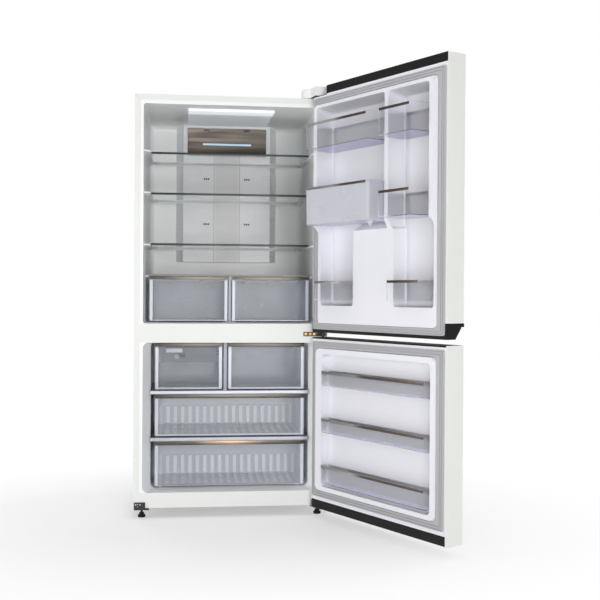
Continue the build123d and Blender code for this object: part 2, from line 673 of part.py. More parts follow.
drawers = {
    "crisper_left": (-SHELF_HALF + 2, -CRISPER_SPLIT - 1, *crisper),
    "crisper_right": (CRISPER_SPLIT + 1, SHELF_HALF - 2, *crisper),
    "freezer_drawer_upper_left": (
        -FREEZER_HALF_DRAWER, FREEZER_SPLIT_X - FREEZER_SPLIT - 3, UPPER_BAR_TOP + RUN_H,
        UPPER_DRAWER_TOP, ICE_TUB_TOP, FREEZER_FRONT, FREEZER_TUB, UPPER_BAR_TOP, STRIP_H, 8,
        LOW_RIB),
    "freezer_drawer_upper_right": (
        FREEZER_SPLIT_X + FREEZER_SPLIT + 2, FREEZER_HALF_DRAWER, UPPER_BAR_TOP + RUN_H,
        UPPER_DRAWER_TOP, UPPER_DRAWER_TOP - STRIP_H, FREEZER_FRONT, FREEZER_TUB, UPPER_BAR_TOP,
        STRIP_H, 9, LOW_RIB),
    "freezer_drawer_middle": (
        -FREEZER_HALF_DRAWER, FREEZER_HALF_DRAWER, LOWER_BAR_TOP + RUN_H, MIDDLE_DRAWER_TOP,
        MIDDLE_DRAWER_TOP - STRIP_H, FREEZER_FRONT, FREEZER_TUB, LOWER_BAR_TOP, STRIP_H, 17,
        TALL_RIB),
    "freezer_drawer_bottom": (
        -FREEZER_HALF_DRAWER, FREEZER_HALF_DRAWER, FREEZER_FLOOR + 13, BOTTOM_DRAWER_TOP,
        BOTTOM_DRAWER_TOP - STRIP_H, FREEZER_FRONT, BOTTOM_TUB, FREEZER_FLOOR, STRIP_H, 17,
        TALL_RIB),
}
for name, sizes in drawers.items():
    save(drawer(*sizes), name)

# ---------------------------------------------------------------- ice maker
ICE_LEFT = -306.0
ICE_RIGHT = -65.0
ICE_FRONT = 135.0
ICE_BACK = 400.0
ICE_FLOOR = 662.0       # underside of the ice maker
ICE_PLATE = 4.0
TRAY_PIN_R = 5.0
TRAY_RIM = 4.0          # the tray's axis to its rim
KNOB_R = 11.0
LABEL_FRAME = (ICE_LEFT + 19, ICE_LEFT + 98, 703.0, 728.0)

with BuildPart() as ice_maker_frame:
    for front in (ICE_FRONT, ICE_BACK - ICE_PLATE):
        with BuildSketch(at_depth(front)):
            round_panel(ICE_LEFT, ICE_RIGHT, ICE_FLOOR, MULLION_BOTTOM, 5)
            with Locations((TRAY_X, TRAY_Z)):
                Circle(TRAY_PIN_R + PIN_FIT, mode=Mode.SUBTRACT)
        extrude(amount=-ICE_PLATE)
    block(ICE_LEFT + 6, ICE_RIGHT - 6, ICE_FRONT + 1, ICE_BACK - 1, MULLION_BOTTOM - ICE_PLATE,
          MULLION_BOTTOM)
    # raised frame on the front plate, and the housing of the tray's drive
    with BuildSketch(at_depth(ICE_FRONT)):
        round_panel(*LABEL_FRAME, 3)
        round_panel(LABEL_FRAME[0] + 3, LABEL_FRAME[1] - 3, LABEL_FRAME[2] + 3,
                    LABEL_FRAME[3] - 3, 2, Mode.SUBTRACT)
    extrude(amount=2)
    block(ICE_RIGHT - 90, ICE_RIGHT - 12, ICE_FRONT + ICE_PLATE - 1, ICE_BACK - ICE_PLATE + 1,
          ICE_FLOOR + 6, MULLION_BOTTOM - ICE_PLATE + 1)
save(ice_maker_frame, "ice_maker_frame")

with BuildPart() as ice_tray:
    block(TRAY_X - TRAY_HALF, TRAY_X + TRAY_HALF, ICE_FRONT + 12, ICE_BACK - 12,
          TRAY_Z - TRAY_DEPTH, TRAY_Z + TRAY_RIM)
    with GridLocations(2 * TRAY_HALF / 4, 33, 4, 7):
        with Locations((TRAY_X, (ICE_FRONT + ICE_BACK) / 2, TRAY_Z + TRAY_RIM)):
            Box(26, 28, 2 * TRAY_DEPTH, mode=Mode.SUBTRACT)
    for y0, y1 in ((ICE_FRONT - 2, ICE_FRONT + 13), (ICE_BACK - 13, ICE_BACK - 1)):
        with BuildSketch(at_depth(y0)):
            with Locations((TRAY_X, TRAY_Z)):
                Circle(TRAY_PIN_R)
        extrude(amount=y0 - y1)
    # knob with a flat grip
    with BuildSketch(at_depth(ICE_FRONT - 1)):
        with Locations((TRAY_X, TRAY_Z)):
            Circle(KNOB_R)
    extrude(amount=4)
    with BuildSketch(at_depth(ICE_FRONT - 5)):
        with Locations((TRAY_X, TRAY_Z)):
            SlotOverall(2 * KNOB_R - 2, 6)
    extrude(amount=10)
save(ice_tray, "ice_tray")

# ---------------------------------------------------------------- freezer's back
COVER_FRONT = 500.0
COVER_T = 3.0
COVER_HALF = 340.0
COVER_BOTTOM = 345.0
COVER_TOP = 745.0
FAN_X = 0.0
FAN_Z = 655.0
FAN_R = 55.0
FAN_PIN_R = 2.5
FAN_FRONT = 516.0
FAN_D = 16.0

with BuildPart() as evaporator_cover:
    with BuildSketch(at_depth(COVER_FRONT)):
        round_panel(-COVER_HALF, COVER_HALF, COVER_BOTTOM, COVER_TOP, 20)
        # air outlets in front of the fan and air inlets at the bottom
        with Locations((FAN_X, FAN_Z)):
            with GridLocations(150, 14, 1, 6):
                SlotOverall(95, 7, mode=Mode.SUBTRACT)
        with Locations((0, COVER_BOTTOM + 25)):
            with GridLocations(44, 20, 14, 1):
                SlotOverall(32, 9, mode=Mode.SUBTRACT)
    extrude(amount=-COVER_T)
    # side returns reach the liner's back wall
    for side in (-1, 1):
        block(side * (COVER_HALF - 1.5) - 1.5, side * (COVER_HALF - 1.5) + 1.5, COVER_FRONT + 1,
              FREEZER_DEPTH, COVER_BOTTOM + 20, COVER_TOP - 20)
    # ring around the fan, and the pin that carries it
    with BuildSketch(at_depth(COVER_FRONT + 1)):
        with Locations((FAN_X, FAN_Z)):
            Circle(FAN_R + 8)
            Circle(FAN_R + 5, mode=Mode.SUBTRACT)
    extrude(amount=-32)
    with BuildSketch(at_depth(COVER_FRONT + 2)):
        with Locations((FAN_X, FAN_Z)):
            Circle(9)
    extrude(amount=-(FAN_FRONT - COVER_FRONT - 2.5))
    with BuildSketch(at_depth(FAN_FRONT - 1)):
        with Locations((FAN_X, FAN_Z)):
            Circle(FAN_PIN_R)
    extrude(amount=-FAN_D - 2)
save(evaporator_cover, "evaporator_cover")

with BuildPart() as evaporator_fan:
    with BuildSketch(at_depth(FAN_FRONT)):
        with Locations((FAN_X, FAN_Z)):
            Circle(14)
    extrude(amount=-FAN_D)
    for blade in range(5):
        turn = blade * 72.0
        root = Plane(
            origin=(FAN_X + 12 * cos(radians(turn)), FAN_FRONT + FAN_D / 2,
                    FAN_Z + 12 * sin(radians(turn))),
            x_dir=(-sin(radians(turn)) * cos(radians(35)), sin(radians(35)),
                   cos(radians(turn)) * cos(radians(35))),
            z_dir=(cos(radians(turn)), 0, sin(radians(turn))),
        )
        with BuildSketch(root):
            Rectangle(16, 1.6)
        with BuildSketch(root.offset(FAN_R - 12)):
            Rectangle(26, 1.2)
        loft()
    with BuildSketch(at_depth(FAN_FRONT - 1)):
        with Locations((FAN_X, FAN_Z)):
            Circle(FAN_PIN_R + PIN_FIT)
    extrude(amount=-FAN_D - 2, mode=Mode.SUBTRACT)
save(evaporator_fan, "evaporator_fan")

COIL_Y = (522.0, 552.0)
COIL_HALF = 255.0
COIL_BOTTOM = 400.0
COIL_PITCH = 34.0
COIL_R = 4.0
with BuildPart() as evaporator:
    # end plates and fins on rows of pipes
    for number in range(25):
        x = -COIL_HALF + 10 + number * (COIL_HALF - 10) / 12
        block(x - 0.3, x + 0.3, COIL_Y[0] - 11, COIL_Y[1] + 11, COIL_BOTTOM - 14,
              COIL_BOTTOM + 4 * COIL_PITCH + 14)
    for y in COIL_Y:
        for row in range(5):
            with BuildSketch(at_side(-COIL_HALF)):
                with Locations((y, COIL_BOTTOM + row * COIL_PITCH)):
                    Circle(COIL_R)
            extrude(amount=2 * COIL_HALF)
    # bends join the rows at their ends
    for row in range(5):
        for side in (-1, 1):
            with BuildSketch(at_side(side * COIL_HALF - COIL_R)):
                with Locations(((COIL_Y[0] + COIL_Y[1]) / 2, COIL_BOTTOM + row * COIL_PITCH)):
                    SlotOverall(COIL_Y[1] - COIL_Y[0] + 2 * COIL_R, 2 * COIL_R)
            extrude(amount=2 * COIL_R)
    # brackets stand on the liner's back wall
    for side in (-1, 1):
        block(side * (COIL_HALF - 20) - 12, side * (COIL_HALF - 20) + 12, COIL_Y[1] + 10,
              FREEZER_DEPTH, COIL_BOTTOM + 10, COIL_BOTTOM + 3 * COIL_PITCH)
save(evaporator, "evaporator")

# ---------------------------------------------------------------- machine compartment
MACHINE_FLOOR = CAB_BOTTOM + PAN_T
COMP_X = 225.0
COMP_Y = 540.0
COMP_R = 76.0
COMP_TOP = 222.0
with BuildPart() as compressor:
    with BuildSketch(Plane.XZ.offset(-COMP_Y)):
        with BuildLine():
            Polyline(
                (COMP_X, COMP_TOP),
                (COMP_X + 40, COMP_TOP - 5),
                (COMP_X + COMP_R - 6, COMP_TOP - 32),
                (COMP_X + COMP_R - 2, COMP_TOP - 72),
                (COMP_X + COMP_R + 2, COMP_TOP - 76),
                (COMP_X + COMP_R + 2, COMP_TOP - 82),
                (COMP_X + COMP_R - 2, COMP_TOP - 86),
                (COMP_X + COMP_R - 12, MACHINE_FLOOR + 22),
                (COMP_X, MACHINE_FLOOR + 14),
                close=True,
            )
        make_face()
    revolve(axis=Axis((COMP_X, COMP_Y, 0), (0, 0, 1)))
    # foot plate on four rubber mounts
    block(COMP_X - 95, COMP_X + 95, COMP_Y - 55, COMP_Y + 55, MACHINE_FLOOR + 14,
          MACHINE_FLOOR + 17)
    for x in (COMP_X - 84, COMP_X + 84):
        for y in (COMP_Y - 44, COMP_Y + 44):
            rod(x, y, MACHINE_FLOOR, MACHINE_FLOOR + 14.5, 10)
    # terminal box, and the stubs of three pipes
    block(COMP_X + COMP_R - 8, COMP_X + COMP_R + 26, COMP_Y - 24, COMP_Y + 24, 100, 158)
    for x, y in ((COMP_X - 52, COMP_Y - 40), (COMP_X - 60, COMP_Y), (COMP_X - 52, COMP_Y + 40)):
        rod(x, y, COMP_TOP - 60, COMP_TOP + 16, 3.5)
save(compressor, "compressor")

with BuildPart() as drip_tray:
    with BuildSketch(Plane.XY.offset(COMP_TOP)):
        with Locations((COMP_X + 20, COMP_Y)):
            RectangleRounded(116, 126, 14)
    extrude(amount=34)
    with BuildSketch(Plane.XY.offset(COMP_TOP + 2)):
        with Locations((COMP_X + 20, COMP_Y)):
            RectangleRounded(112, 122, 12)
    extrude(amount=34, mode=Mode.SUBTRACT)
save(drip_tray, "drip_tray")

CONDENSER_R = 2.4
CONDENSER_LEFT = -390.0
CONDENSER_RIGHT = -30.0
CONDENSER_LOW = 70.0
CONDENSER_PITCH = 22.0
CONDENSER_ROWS = 9
with BuildPart() as condenser:
    for y in (500.0, 590.0):
        turns = []
        for row in range(CONDENSER_ROWS):
            z = CONDENSER_LOW + row * CONDENSER_PITCH
            ends = [(CONDENSER_LEFT, y, z), (CONDENSER_RIGHT, y, z)]
            turns += ends if row % 2 == 0 else ends[::-1]
        with BuildLine() as pipe:
            FilletPolyline(*turns, radius=CONDENSER_PITCH / 2 - 0.5)
        with BuildSketch(Plane(origin=pipe.line @ 0, z_dir=pipe.line % 0)):
            Circle(CONDENSER_R)
        sweep()
    # wires tie the pipes, and two end plates stand on the floor
    for x in (CONDENSER_LEFT + 20, CONDENSER_RIGHT - 20):
        block(x - 1, x + 1, 488, 602, MACHINE_FLOOR, CONDENSER_LOW + 8.6 * CONDENSER_PITCH)
    for number in range(1, 12):
        x = CONDENSER_LEFT + 20 + number * (CONDENSER_RIGHT - CONDENSER_LEFT - 40) / 12
        for y in (500.0, 590.0):
            block(x - 0.8, x + 0.8, y - 3.4, y - 1.8, CONDENSER_LOW - 8,
                  CONDENSER_LOW + 8.4 * CONDENSER_PITCH)
save(condenser, "condenser")

with BuildPart() as compressor_cover:
    with BuildSketch(at_depth(CAB_D)):
        round_panel(-HALF_W + 0.5, HALF_W - 0.5, CAB_BOTTOM + 4, MACHINE_ROOF - 2, 4)
        with Locations((0, 165)):
            with GridLocations(48, 22, 16, 8):
                SlotOverall(36, 6, mode=Mode.SUBTRACT)
    extrude(amount=-1.5)
    # gland for the mains lead
    with BuildSketch(at_depth(CAB_D + 1)):
        with Locations((-180, CAB_BOTTOM + 22)):
            Circle(11)
    extrude(amount=-10)
    with BuildSketch(at_depth(CAB_D - 1)):
        with Locations((-180, CAB_BOTTOM + 22)):
            Circle(4)
    extrude(amount=-14, mode=Mode.SUBTRACT)
save(compressor_cover, "compressor_cover")

# ================================================================ hinges, feet and rollers
BRACKET_T = 4.0
HINGE_TOP = CAB_TOP + HINGE_PLATE
TONGUE_Z = 793.0        # underside of the middle hinge's tongue
TONGUE_T = 4.0
BOTTOM_PLATE_Z = 36.0
HINGE_LEFT = 330.0
ARM_R = 13.5
SCREW_R = 2.9           # shank of a hinge screw
SCREW_HOLE_R = 3.2
SCREW_HEAD_R = 5.5
TOP_SCREWS = ((342.0, 18.0), (392.0, 18.0), (366.0, 46.0))    # as (x, y)
MIDDLE_SCREW_X = (324.0, 344.0, 362.0)
MIDDLE_SCREW_Z = 795.0
MIDDLE_PLATE = (314.0, 412.0, LOWER_TOP + 1.5, UPPER_BOTTOM - 1.5)
COVER_TOP_Z = 1868.0    # top of the white cover over the top hinge
COVER_WALL = 2.0
FOOT_BRACKET = (352.0, 416.0, 60.0)    # a bottom bracket's inner and outer side, and its back
WEB_TOP = 69.0
WEB_HOLE_R = 2.6


def hinge_arm(plane, left, right, shoulder, back, thickness):
    """A plate that narrows to a round eye around the hinge axis."""
    with BuildPart() as arm:
        with BuildSketch(plane):
            with BuildLine():
                Polyline(
                    (left, back),
                    (left, shoulder),
                    (HINGE_X - ARM_R, -HINGE_FWD),
                    (HINGE_X + ARM_R, -HINGE_FWD),
                    (right, shoulder),
                    (right, back),
                    close=True,
                )
            make_face()
            with Locations((HINGE_X, -HINGE_FWD)):
                Circle(ARM_R)
        extrude(amount=thickness)
    return arm.part


top_arm = hinge_arm(Plane.XY.offset(CAB_TOP), HINGE_LEFT, 406, 8, 60, HINGE_PLATE)
with BuildPart() as top_hinge:
    add(top_arm)
    rod(HINGE_X, -HINGE_FWD, CAB_TOP - 3 - PIN_L, CAB_TOP + 1, PIN_R)
    chamfer(top_hinge.faces().sort_by(Axis.Z)[0].edges(), 1)
    for x, y in TOP_SCREWS:
        rod(x, y, CAB_TOP - 1, HINGE_TOP + 1, SCREW_HOLE_R, Mode.SUBTRACT)
save(top_hinge, "top_hinge")

with BuildPart() as hinge_cover:
    for grow, low, high, mode in (
        (0, CAB_TOP, COVER_TOP_Z, Mode.ADD),
        (COVER_WALL, CAB_TOP - 1, COVER_TOP_Z - COVER_WALL, Mode.SUBTRACT),
    ):
        with BuildSketch(Plane.XY.offset(low)):
            with BuildLine():
                Polyline(
                    (307 + grow, 62 - grow),
                    (307 + grow, grow - 4),
                    (336 + grow, grow - 4),
                    (352 + grow, grow - 68),
                    (411 - grow, grow - 68),
                    (411 - grow, 62 - grow),
                    close=True,
                )
            make_face()
        extrude(amount=high - low, mode=mode)
    # the part in front of the cabinet stays above the door's notch
    block(300, 420, -80, 0, CAB_TOP - 2, CAB_TOP + 1, Mode.SUBTRACT)
    fillet(hinge_cover.faces().sort_by(Axis.Z)[-1].edges(), radius=1.5)
save(hinge_cover, "hinge_cover")

middle_arm = hinge_arm(Plane.XY.offset(TONGUE_Z), 372, 410, -10, -BRACKET_T / 2, TONGUE_T)
with BuildPart() as middle_hinge:
    with BuildSketch(at_depth(-BRACKET_T)):
        round_panel(*MIDDLE_PLATE, 3)
        for x in MIDDLE_SCREW_X:
            with Locations((x, MIDDLE_SCREW_Z)):
                Circle(SCREW_HOLE_R, mode=Mode.SUBTRACT)
    extrude(amount=-BRACKET_T)
    add(middle_arm)
    rod(HINGE_X, -HINGE_FWD, TONGUE_Z - 2 - PIN_L, TONGUE_Z + TONGUE_T + 3 + PIN_L, PIN_R)
save(middle_hinge, "middle_hinge")

bottom_arm = hinge_arm(Plane.XY.offset(BOTTOM_PLATE_Z), *FOOT_BRACKET[:2], 0, FOOT_BRACKET[2],
                       BRACKET_T)
with BuildPart() as bottom_brackets:
    add(bottom_arm)
    rod(HINGE_X, -HINGE_FWD, BOTTOM_PLATE_Z, LOWER_BOTTOM + 2 + PIN_L, PIN_R)
    block(-FOOT_BRACKET[1], -FOOT_BRACKET[0], -BRACKET_T, FOOT_BRACKET[2], BOTTOM_PLATE_Z,
          BOTTOM_PLATE_Z + BRACKET_T)
    for side in (-1, 1):
        # pads up to the base pan, and the hole for the foot's stem
        for x in (side * (FOOT_BRACKET[0] + 8), side * (FOOT_BRACKET[1] - 8)):
            rod(x, FOOT_BRACKET[2] - 15, BOTTOM_PLATE_Z + 1, CAB_BOTTOM, 6)
        rod(side * FOOT_X, FOOT_Y, BOTTOM_PLATE_Z - 1, CAB_BOTTOM, FOOT_STEM_R + 1, Mode.SUBTRACT)
    # upright webs in front of the cabinet; the right one ends short of the swinging door's corner
    for left, right, hole_x in ((-FOOT_BRACKET[1], -368, -400), (FOOT_BRACKET[0], 374, 362)):
        block(left, right, -BRACKET_T, 0, BOTTOM_PLATE_Z, WEB_TOP)
        for z in (WEB_TOP - 19, WEB_TOP - 8):
            with BuildSketch(at_depth(-BRACKET_T - 1)):
                with Locations((hole_x, z)):
                    Circle(WEB_HOLE_R)
            extrude(amount=-BRACKET_T - 2, mode=Mode.SUBTRACT)
save(bottom_brackets, "bottom_brackets")

with BuildPart() as hinge_screws:
    for x, y in TOP_SCREWS:
        rod(x, y, CAB_TOP, HINGE_TOP, SCREW_R)
        rod(x, y, HINGE_TOP, HINGE_TOP + 2.5, SCREW_HEAD_R)
        with BuildSketch(Plane.XY.offset(HINGE_TOP + 2.5)):
            with Locations((x, y)):
                SlotOverall(7, 1.4)
                SlotOverall(7, 1.4, rotation=90)
        extrude(amount=-1.2, mode=Mode.SUBTRACT)
    for x in MIDDLE_SCREW_X:
        with BuildSketch(at_depth(0)):
            with Locations((x, MIDDLE_SCREW_Z)):
                Circle(SCREW_R)
        extrude(amount=BRACKET_T)
        with BuildSketch(at_depth(-BRACKET_T)):
            with Locations((x, MIDDLE_SCREW_Z)):
                Circle(SCREW_HEAD_R)
        extrude(amount=1.8)
save(hinge_screws, "hinge_screws")

for side, label in ((-1, "foot_left"), (1, "foot_right")):
    with BuildPart() as foot:
        with BuildSketch(Plane.XY):
            with Locations((side * FOOT_X, FOOT_Y)):
                Circle(FOOT_R)
        extrude(amount=10)
        with BuildSketch(Plane.XY.offset(10)):
            with Locations((side * FOOT_X, FOOT_Y)):
                RegularPolygon(11, 6)
        extrude(amount=10)
        rod(side * FOOT_X, FOOT_Y, 18, CAB_BOTTOM + BOSS_H - 2, FOOT_STEM_R)
        chamfer(foot.faces().sort_by(Axis.Z)[0].edges(), 1.5)
    save(foot, label)

with BuildPart() as rear_rollers:
    for side in (-1, 1):
        with BuildSketch(at_side(side * ROLLER_X - ROLLER_GAP + 3)):
            with Locations((WHEEL_Y, WHEEL_R)):
                Circle(WHEEL_R)
        extrude(amount=2 * ROLLER_GAP - 6)
        with BuildSketch(at_side(side * ROLLER_X - ROLLER_GAP - 3)):
            with Locations((WHEEL_Y, WHEEL_R)):
                Circle(AXLE_R)
        extrude(amount=2 * ROLLER_GAP + 6)
        with BuildSketch(at_side(side * ROLLER_X - ROLLER_GAP + 3)):
            with Locations((WHEEL_Y, WHEEL_R)):
                Circle(WHEEL_R - 5)
                Circle(AXLE_R + 4, mode=Mode.SUBTRACT)
        extrude(amount=3, mode=Mode.SUBTRACT)
save(rear_rollers, "rear_rollers")

# ================================================================ doors
DOOR_R = 4.0            # outer upright edges of a door
SKIN_RETURN = 12.0      # the steel skin's return on the inner side
CAP_T = 2.5
NOTCH_S = 66.0          # the top cap is cut away around the hinge arm
NOTCH_N = 38.0
NOTCH_FLOOR = CAB_TOP - 2.5
BOSS_R = 12.0
FLANGE_S0 = S_HINGE + SHEET + SKIN_RETURN
FLANGE_S1 = S_FREE - SHEET - SKIN_RETURN
FLANGE_N = N_IN + LINER_T


def door_section(inset, inner):
    """Plan outline of a door with rounded outer corners."""
    with BuildSketch() as section:
        panel(S_HINGE + inset, S_FREE - inset, N_IN + inner, N_OUT - inset)
        fillet(section.vertices().group_by(Axis.Y)[-1], radius=DOOR_R - inset)
    return section.sketch


def door_skin(bottom, top, return_bottom, return_top):
    """The painted steel wrap: front, two sides, and narrow returns on the inner side."""
    with BuildPart() as skin:
        with BuildSketch(DOOR.offset(bottom)):
            add(section_outside)
            add(section_foam, mode=Mode.SUBTRACT)
            panel(FLANGE_S0, FLANGE_S1, N_IN - 1, N_IN + 2 * SHEET, Mode.SUBTRACT)
        extrude(amount=top - bottom)
        for low, high in ((bottom - 1, return_bottom), (return_top, top + 1)):
            door_block(S_HINGE + SHEET, S_FREE - SHEET, N_IN - 1, N_IN + SHEET, low, high,
                  Mode.SUBTRACT)
    return skin.part


section_outside = door_section(0, 0)
section_cap = door_section(SHEET, 0)
section_foam = door_section(SHEET, SHEET)
notch_end = NOTCH_S + CAP_T

# ---------------------------------------------------------------- upper door's liner
# The liner is one formed sheet: a ring-shaped dyke, a rib and a column stand up between two
# deep pockets. The dyke is lower in its bottom half, and a slope joins the two heights.
CREST = -71.5           # top of the dyke in the upper half
LOW_CREST = -51.5       # the same in the lower half
POCKET_N = 10.5         # floor of the pockets
STEP_HIGH = 1263.0
STEP_LOW = 1231.0
CREST_SIDE = 22.0       # the crest's edge beside the hinge, in the upper half
LOW_CREST_SIDE = 32.0   # the same in the lower half
GASKET_IN = (9.0, 770.0, 846.0, 1787.0)
FLANGE_BOTTOM = 840.0   # the liner's flange reaches down over the grip cap
FLARE = 0.087           # draft of the pocket walls
TOP_FLARE = 0.207       # the pockets' upper walls lean more
COLUMN_FLARE = 0.565    # sloped top of the column
POCKET_R = 12.0


def grown(sides, grow):
    """A rectangle's sides moved outward."""
    return (sides[0] - grow, sides[1] + grow, sides[2] - grow, sides[3] + grow)


def pocket(sides, low_flare, high_flare, skin):
    """A pocket of the liner as a solid, widening from its floor to past the crest."""
    depth = POCKET_N - CREST + 15
    mouth = (sides[0] - FLARE * depth, sides[1] + FLARE * depth, sides[2] - low_flare * depth,
             sides[3] + high_flare * depth)
    with BuildPart() as form:
        with BuildSketch(on_door(POCKET_N + skin)):
            round_panel(*grown(sides, skin), POCKET_R + skin)
        with BuildSketch(on_door(POCKET_N - depth)):
            round_panel(*grown(mouth, skin), POCKET_R + skin)
        loft()
        floor_face = form.faces().sort_by(Axis((0, 0, 0), DOOR.y_dir))[-1]
        fillet(floor_face.edges(), radius=8 + skin)
    return form.part


def hinge_side(crest_s, crest_n, skin):
    """Plan outline of what is cut away beside the dyke at the hinge."""
    return (
        (GASKET_IN[0] + skin, N_IN + skin),
        (crest_s + skin, crest_n + skin),
        (crest_s + skin, CREST - 10),
        (-5, CREST - 10),
        (-5, N_IN + skin),
    )


def dyke(skin):
    """The raised ring as one solid, from the liner's flange to its crest."""
    step_low = STEP_LOW + skin * MITRE
    step_high = STEP_HIGH + skin * MITRE + skin
    block_part = funnel(
        on_door(FLANGE_N), grown(GASKET_IN, -skin),
        on_door(CREST + skin), (CREST_SIDE + skin, 768 - skin, 850 + skin, 1775 - skin), 20,
    )
    with BuildPart() as form:
        add(block_part)
        with BuildSketch(across_door(S_HINGE)):
            with BuildLine():
                Polyline(
                    (LOW_CREST + skin, UPPER_BOTTOM),
                    (LOW_CREST + skin, step_low),
                    (CREST + skin, step_high),
                    (CREST - 50, step_high),
                    (CREST - 50, UPPER_BOTTOM),
                    close=True,
                )
            make_face()
        extrude(amount=CAB_W, mode=Mode.SUBTRACT)
        # in the lower half the side beside the hinge leans more
        with BuildSketch(DOOR.offset(UPPER_BOTTOM)):
            with BuildLine():
                Polyline(*hinge_side(LOW_CREST_SIDE, LOW_CREST, skin), close=True)
            make_face()
        extrude(amount=step_low - UPPER_BOTTOM, mode=Mode.SUBTRACT)
        for height, edge in ((step_low, (LOW_CREST_SIDE, LOW_CREST)),
                             (step_high, (CREST_SIDE, CREST))):
            with BuildSketch(DOOR.offset(height)):
                with BuildLine():
                    Polyline(*hinge_side(*edge, skin), close=True)
                make_face()
        loft(ruled=True, mode=Mode.SUBTRACT)
    return form.part


def upper_pockets(skin):
    """Both pockets, each made of an upper and a lower field."""
    return (
        pocket((52, 486, 1266, 1745), COLUMN_FLARE, TOP_FLARE, skin)
        + pocket((54, 268, 928, 1300), FLARE, FLARE, skin)
        + pocket((523, 743, 1232, 1745), FLARE, TOP_FLARE, skin)
        + pocket((534, 753, 928, 1258), FLARE, 0, skin)
    )


def flat(sides, n0, n1):
    """A flat slab along a door."""
    with BuildPart() as form:
        with BuildSketch(on_door(n1)):
            panel(*sides)
        extrude(amount=n1 - n0)
    return form.part


dyke_outside = dyke(0)
dyke_inside = dyke(LINER_T)
pockets_clear = upper_pockets(0)
pockets_grown = upper_pockets(LINER_T)
upper_flange = (FLANGE_S0, FLANGE_S1, FLANGE_BOTTOM, UPPER_TOP - CAP_H)
flange_slab = flat(upper_flange, N_IN, FLANGE_N)
body_slab = flat(upper_flange, FLANGE_N, N_OUT - 20)
dyke_core = dyke_inside - pockets_grown
pocket_walls = pockets_grown & body_slab

with BuildPart() as upper_door_liner:
    add(flange_slab)
    add(dyke_outside)
    add(pocket_walls)
    add(dyke_core, mode=Mode.SUBTRACT)
    add(pockets_clear, mode=Mode.SUBTRACT)
    door_block(S_HINGE, notch_end, N_IN - 1, FLANGE_N, NOTCH_FLOOR - CAP_T, UPPER_TOP, Mode.SUBTRACT)
save(upper_door_liner, "upper_door_liner")

# ---------------------------------------------------------------- upper door's body
NICHE_S0 = 300.0        # dispenser opening in the skin
NICHE_S1 = 500.0
NICHE_Z0 = 1000.0
NICHE_Z1 = 1230.0
NICHE_BACK = -8.0
NICHE_WALL = 2.5
GRIP_LIP = (36.0, 852.0)      # the grip recess below the outer face, as (n, z)
GRIP_ROOF = (36.0, 848.0)
GRIP_END = 6.5
GRIP_TOP = UPPER_BOTTOM + GRIP_H

with BuildPart() as upper_door_skin:
    add(door_skin(GRIP_TOP, UPPER_TOP, GRIP_TOP, UPPER_TOP - CAP_H))
    door_block(S_HINGE - 1, NOTCH_S, N_IN - 1, NOTCH_N, NOTCH_FLOOR, UPPER_TOP + 1, Mode.SUBTRACT)
    door_block(S_HINGE + SHEET, notch_end, N_IN - 1, N_IN + SHEET, NOTCH_FLOOR - CAP_T, UPPER_TOP,
          Mode.SUBTRACT)
    door_block(NICHE_S0, NICHE_S1, N_OUT - 5, N_OUT + 5, NICHE_Z0, NICHE_Z1, Mode.SUBTRACT)
save(upper_door_skin, "upper_door_skin")


def grip_profile(inset):
    """Cross section of the cap below the upper door: it is cut back below the outer face."""
    return (
        (N_IN + inset, UPPER_BOTTOM + inset),
        (GRIP_END - inset, UPPER_BOTTOM + inset),
        (GRIP_ROOF[0] - inset * 1.5, GRIP_ROOF[1] + inset * 0.4),
        (GRIP_LIP[0] - inset * 1.5, GRIP_LIP[1] + inset),
        (N_OUT - inset, GRIP_LIP[1] + inset),
        (N_OUT - inset, GRIP_TOP),
        (N_IN + inset, GRIP_TOP),
    )


with BuildPart() as upper_door_caps:
    # top cap: a plate with a skirt on the inner side and a notch around the hinge arm
    with BuildSketch(DOOR.offset(UPPER_TOP - CAP_T)):
        add(section_cap)
    extrude(amount=CAP_T)
    door_block(S_HINGE + SHEET, S_FREE - SHEET, N_IN, N_IN + CAP_T, UPPER_TOP - CAP_H, UPPER_TOP)
    door_block(S_HINGE + SHEET, notch_end, N_IN, NOTCH_N + CAP_T, NOTCH_FLOOR - CAP_T, UPPER_TOP)
    door_block(S_HINGE - 1, NOTCH_S, N_IN - 1, NOTCH_N, NOTCH_FLOOR, UPPER_TOP + 1, Mode.SUBTRACT)
    door_rod(0, 0, NOTCH_FLOOR - CAP_T - 24, NOTCH_FLOOR - CAP_T, BOSS_R)
    door_rod(0, 0, NOTCH_FLOOR - CAP_T - 25, NOTCH_FLOOR + 1, BORE_R, Mode.SUBTRACT)
    # grip cap
    with BuildSketch(across_door(S_HINGE)):
        with BuildLine():
            Polyline(*grip_profile(0), close=True)
        make_face()
    extrude(amount=CAB_W)
    with BuildSketch(across_door(S_HINGE + CAP_T)):
        with BuildLine():
            Polyline(*grip_profile(CAP_T), close=True)
        make_face()
    extrude(amount=CAB_W - 2 * CAP_T, mode=Mode.SUBTRACT)
    door_block(FLANGE_S0, FLANGE_S1, N_IN - 1, N_IN + CAP_T, FLANGE_BOTTOM, GRIP_TOP + 1,
               Mode.SUBTRACT)
    door_rod(0, 0, UPPER_BOTTOM + 1, UPPER_BOTTOM + 25, BOSS_R)
    door_rod(0, 0, UPPER_BOTTOM - 1, UPPER_BOTTOM + 26, BORE_R, Mode.SUBTRACT)
save(upper_door_caps, "upper_door_caps")

